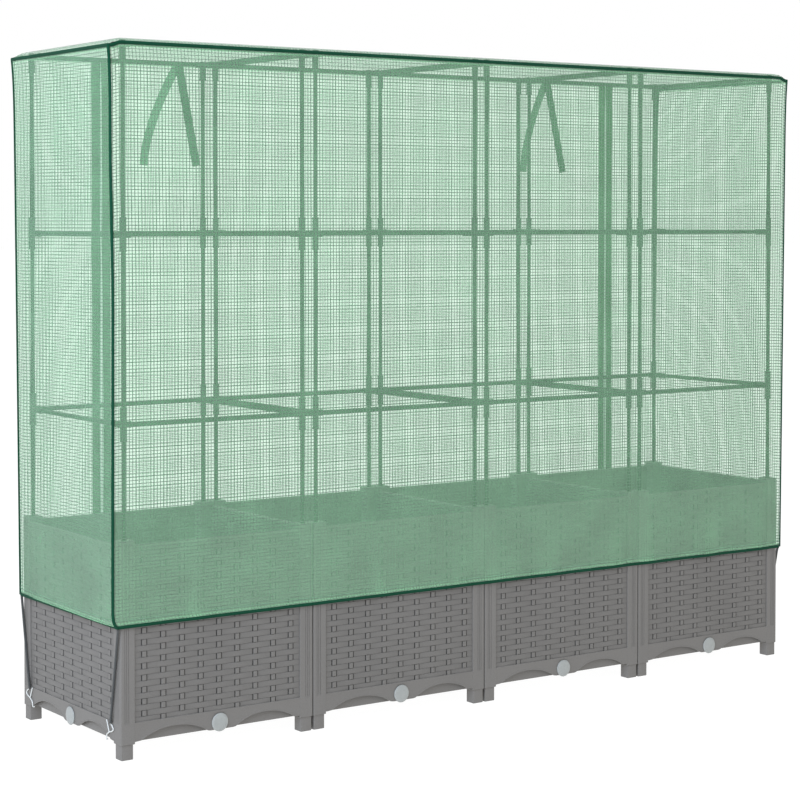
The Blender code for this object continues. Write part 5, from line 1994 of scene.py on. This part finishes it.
@dataclass
class Door:
    """The roll-up door with its hem, zips, sliders and ties."""

    cover: NetCover
    finishes: Finishes
    keep: float = 0.0914
    panel_lap: float = 0.004
    hem_section: tuple[float, float, float] = (0.0058, 0.0028, 0.0013)  # its width, depth and rounding
    tape_width: float = 0.0198
    tape_thickness: float = 0.0012
    tooth_pitch: float = 0.0026
    tie_from_end: dict[End, float] = field(default_factory=lambda: {End.LEFT: 0.3386, End.RIGHT: 0.3214})
    tie_width: float = 0.018
    tie_thickness: float = 0.0012
    tie_length: float = 0.198
    tie_rounding: float = 0.0005
    tie_room: float = 0.0037
    tie_bridge: float = 0.0018
    head_below_seam: float = 0.0055
    legs: dict[End, tuple[float, float]] = field(
        default_factory=lambda: {End.LEFT: (0.0750, 0.0390), End.RIGHT: (0.0620, 0.0440)}
    )
    slider_above_hem: float = 0.020
    slider_out: float = 0.0011
    slider_width: float = 0.010
    slider_depth: float = 0.0033
    slider_height: float = 0.015
    pull_length: float = 0.028
    pull_width: float = 0.0064
    pull_thickness: float = 0.0014

    def roll(self, obj: Object) -> None:
        """Gives a piece of the door a mesh of its own."""
        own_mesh(obj)

    def build_panel(self) -> None:
        """The door's film and threads."""
        left, right = (LAYOUT.zip_x(end) - end.value * (self.tape_width - self.panel_lap) for end in End)
        place = self.cover.long_place(Face.REAR, left, right)
        panel = NetPanel("door", place, (0, 1, 0), right - left, LAYOUT.side_tall, self.finishes, "door_panel")
        for piece in panel.build():
            self.roll(piece)

    def gap_at(self, z: Array) -> Array:
        """Half the width of the light strip between the two tapes: closed at the top, widest low down."""
        bow = np.exp(-(((z - 0.54) / 0.20) ** 2))
        return 0.0008 + 0.0014 * soft_step((LAYOUT.side_seam - 0.030 - z) / 0.03) + 0.0020 * bow

    def tape(self, end: End, inward: bool) -> Patch:
        """One tape of a zip: a strip from beside the teeth to its sewn edge.

        Args:
            end: Which zip.
            inward: Whether it is the door's tape and not the fixed one.

        Returns:
            A closed patch.
        """
        z = np.linspace(LAYOUT.hem_height - 0.002, LAYOUT.side_seam - 0.003, 40)
        way = -end.value if inward else end.value
        start = (LAYOUT.zip_x(end) + way * self.gap_at(z))[:, None]
        y = LAYOUT.cover_half_y + self.cover.hem_ripple(start, z[:, None])
        half, shares = self.tape_thickness / 2, np.linspace(0, 1, 7)
        x = start + (LAYOUT.zip_x(end) + way * self.tape_width - start) * shares
        outer, inner = (
            np.stack(np.broadcast_arrays(x, depth, z[:, None]), axis=-1)
            for depth in (y + half + 0.0003 * np.sin(np.pi * shares), y - half)
        )
        across = shares * self.tape_width
        u = np.concatenate([across, across[::-1] + self.tape_width, [2 * self.tape_width]])
        return loft(np.concatenate([outer, inner[:, ::-1]], axis=1), u=u, v=z)

    def teeth(self, end: End, inward: bool) -> Patch:
        """A coil of teeth along one tape: a rounded bar with a tooth at every pitch.

        Args:
            end: Which zip.
            inward: Whether it is the door's side and not the fixed one.

        Returns:
            A closed patch.
        """
        low, high, steps = LAYOUT.hem_height, LAYOUT.side_seam - 0.004, 4
        count = int((high - low) / self.tooth_pitch) * steps
        way = -end.value if inward else end.value
        z = low + (np.arange(count) + 0.5) / count * (high - low)
        phase = np.arange(count) % steps
        out = np.where((phase == 1) | (phase == 2), 1.0, 0.45)
        if inward:
            out = 1.45 - out
        gap = self.gap_at(z)
        centre = LAYOUT.zip_x(end) + way * (gap * 0.55)
        path = np.stack([centre, LAYOUT.cover_half_y + self.cover.hem_ripple(centre, z), z], axis=-1)
        sizes = np.stack([gap * 0.95 * (0.75 + 0.3 * out), 0.0017 + 0.0009 * out], axis=-1)
        section = round_profile(1.0, 1.0, 8)[None] * sizes[:, None]
        return loft(path[:, None] + np.concatenate([section, np.zeros((count, 8, 1))], axis=-1), slot=1)

    def build_zips(self) -> None:
        """Both zips: the fixed tape with its teeth, and the door's tape with its own."""
        finishes = [self.finishes.zip_weave, self.finishes.teeth]
        for end in End:
            fixed, moving = ([self.tape(end, inward), self.teeth(end, inward)] for inward in (False, True))
            add_piece(f"fixed_zip_{end.tag}", fixed, finishes, [f"zip_tape_{end.tag}"])
            self.roll(add_piece(f"door_zip_{end.tag}", moving, finishes))

    def build_sliders(self) -> None:
        """The two sliders, each a rounded body with a bridge and a pull with a hole."""
        face = LAYOUT.cover_half_y + self.slider_out
        low = LAYOUT.hem_height + 0.0025 + self.slider_above_hem
        for end in End:
            x = LAYOUT.zip_x(end)
            far = (x + self.slider_width / 2, face + self.slider_depth, low + self.slider_height)
            body = block((x - self.slider_width / 2, face, low), far, 0.0014)
            arch = [(0.0028, 0.013), (0.0052, 0.011), (0.0052, 0.006), (0.0028, 0.004)]
            line = eased([(x, face + out, low + up) for out, up in arch], 0.0015)
            bridge = sweep(line, soft_rectangle(0.0030, 0.0012, 0.0004), (1, 0, 0))
            parts = [body, bridge, self.pull(x, face + 0.0040, low + 0.0085)]
            node, body_name = f"zip_slider_{end.tag}", f"zip_{end.tag}"
            add_piece(f"slider_{end.tag}", parts, [self.finishes.slider], [node], body_name)

    def pull(self, x: float, y: float, top: float) -> Patch:
        """A pull: a flat ring that narrows to a tongue, from an outer and an inner outline.

        Args:
            x: X of its middle.
            y: Y of its middle.
            top: Its upper end.

        Returns:
            A closed patch.
        """
        angle = 2 * np.pi * np.arange(32) / 32
        long, wide, half = self.pull_length / 2, self.pull_width / 2, self.pull_thickness / 2
        outer_x = wide * np.cos(angle) * (1 - 0.25 * np.sin(angle))
        outer_z = long * np.sign(np.sin(angle)) * np.abs(np.sin(angle)) ** 0.7
        loops = [
            np.stack([x + outer_x * thin, np.full(32, y + depth), top - long + outer_z * short], axis=-1)
            for thin, short, depth in ((1, 1, -half), (1, 1, half), (0.52, 0.76, half), (0.52, 0.76, -half))
        ]
        return grid_patch(np.stack(loops), wrap_rows=True, wrap_columns=True).outward()

    def build_hem(self) -> None:
        """The door's hem, which rises as the door is rolled up."""
        x = np.linspace(LAYOUT.zip_x(End.LEFT) + 0.0011, LAYOUT.zip_x(End.RIGHT) - 0.0011, 130)
        z = np.full_like(x, LAYOUT.hem_height)
        path = np.stack([x, LAYOUT.cover_half_y + self.cover.hem_ripple(x, z), z], axis=-1)
        patch = sweep(path, soft_rectangle(*self.hem_section), (0, 0, 1))
        add_piece("door_hem_tape", [patch], [self.finishes.edging], ["door_hem"], "door")

    def build_ties(self) -> None:
        """The two pairs of straps: one leg outside the door, one inside, and a bridge over its head."""
        section = soft_rectangle(self.tie_width, self.tie_thickness, self.tie_rounding)
        top = LAYOUT.side_seam - self.head_below_seam + 0.0003 + self.tie_bridge
        room, wide = self.tie_room + self.tie_thickness / 2, LAYOUT.cover_half_y
        down = np.linspace(0, 1, 15)
        for end in End:
            x = end.value * (LAYOUT.row_half - self.tie_from_end[end])
            leg_out, leg_in = self.legs[end]
            straps = []
            for side, y in ((x - leg_out * (1 - (1 - down) ** 1.6), wide + room), (x + leg_in * down, wide - room)):
                path = np.stack([side, np.full_like(side, y), top - self.tie_length * down], axis=-1)
                straps.append(sweep(path, section, (1, 0, 0.01)))
            arch = [(-room, 0.001), (-room, 0), (room, 0), (room, 0.001)]
            line = eased([(x, wide + out, top - under) for out, under in arch], 0.0006)
            straps.append(sweep(line, section, (1, 0, 0)))
            add_piece(f"tie_straps_{end.tag}", straps, [self.finishes.strap], [f"door_tie_{end.tag}"])

    def build(self) -> None:
        """Makes every piece of the door."""
        self.build_panel()
        self.build_zips()
        self.build_sliders()
        self.build_hem()
        self.build_ties()


def main() -> None:
    """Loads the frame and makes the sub-assemblies in order."""
    logging.basicConfig(level=logging.INFO, format="%(name)s: %(message)s")
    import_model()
    Studio().build()
    finishes = Finishes()
    for end in End:
        for face in Face:
            CornerCord(end, face, finishes).build()
    Trellis(finishes).build()
    for bay in range(LAYOUT.bays):
        Planter(bay, finishes).build()
    build_plugs(finishes)
    cover = NetCover(finishes)
    cover.build()
    Door(cover, finishes).build()


if __name__ == "__main__":
    main()
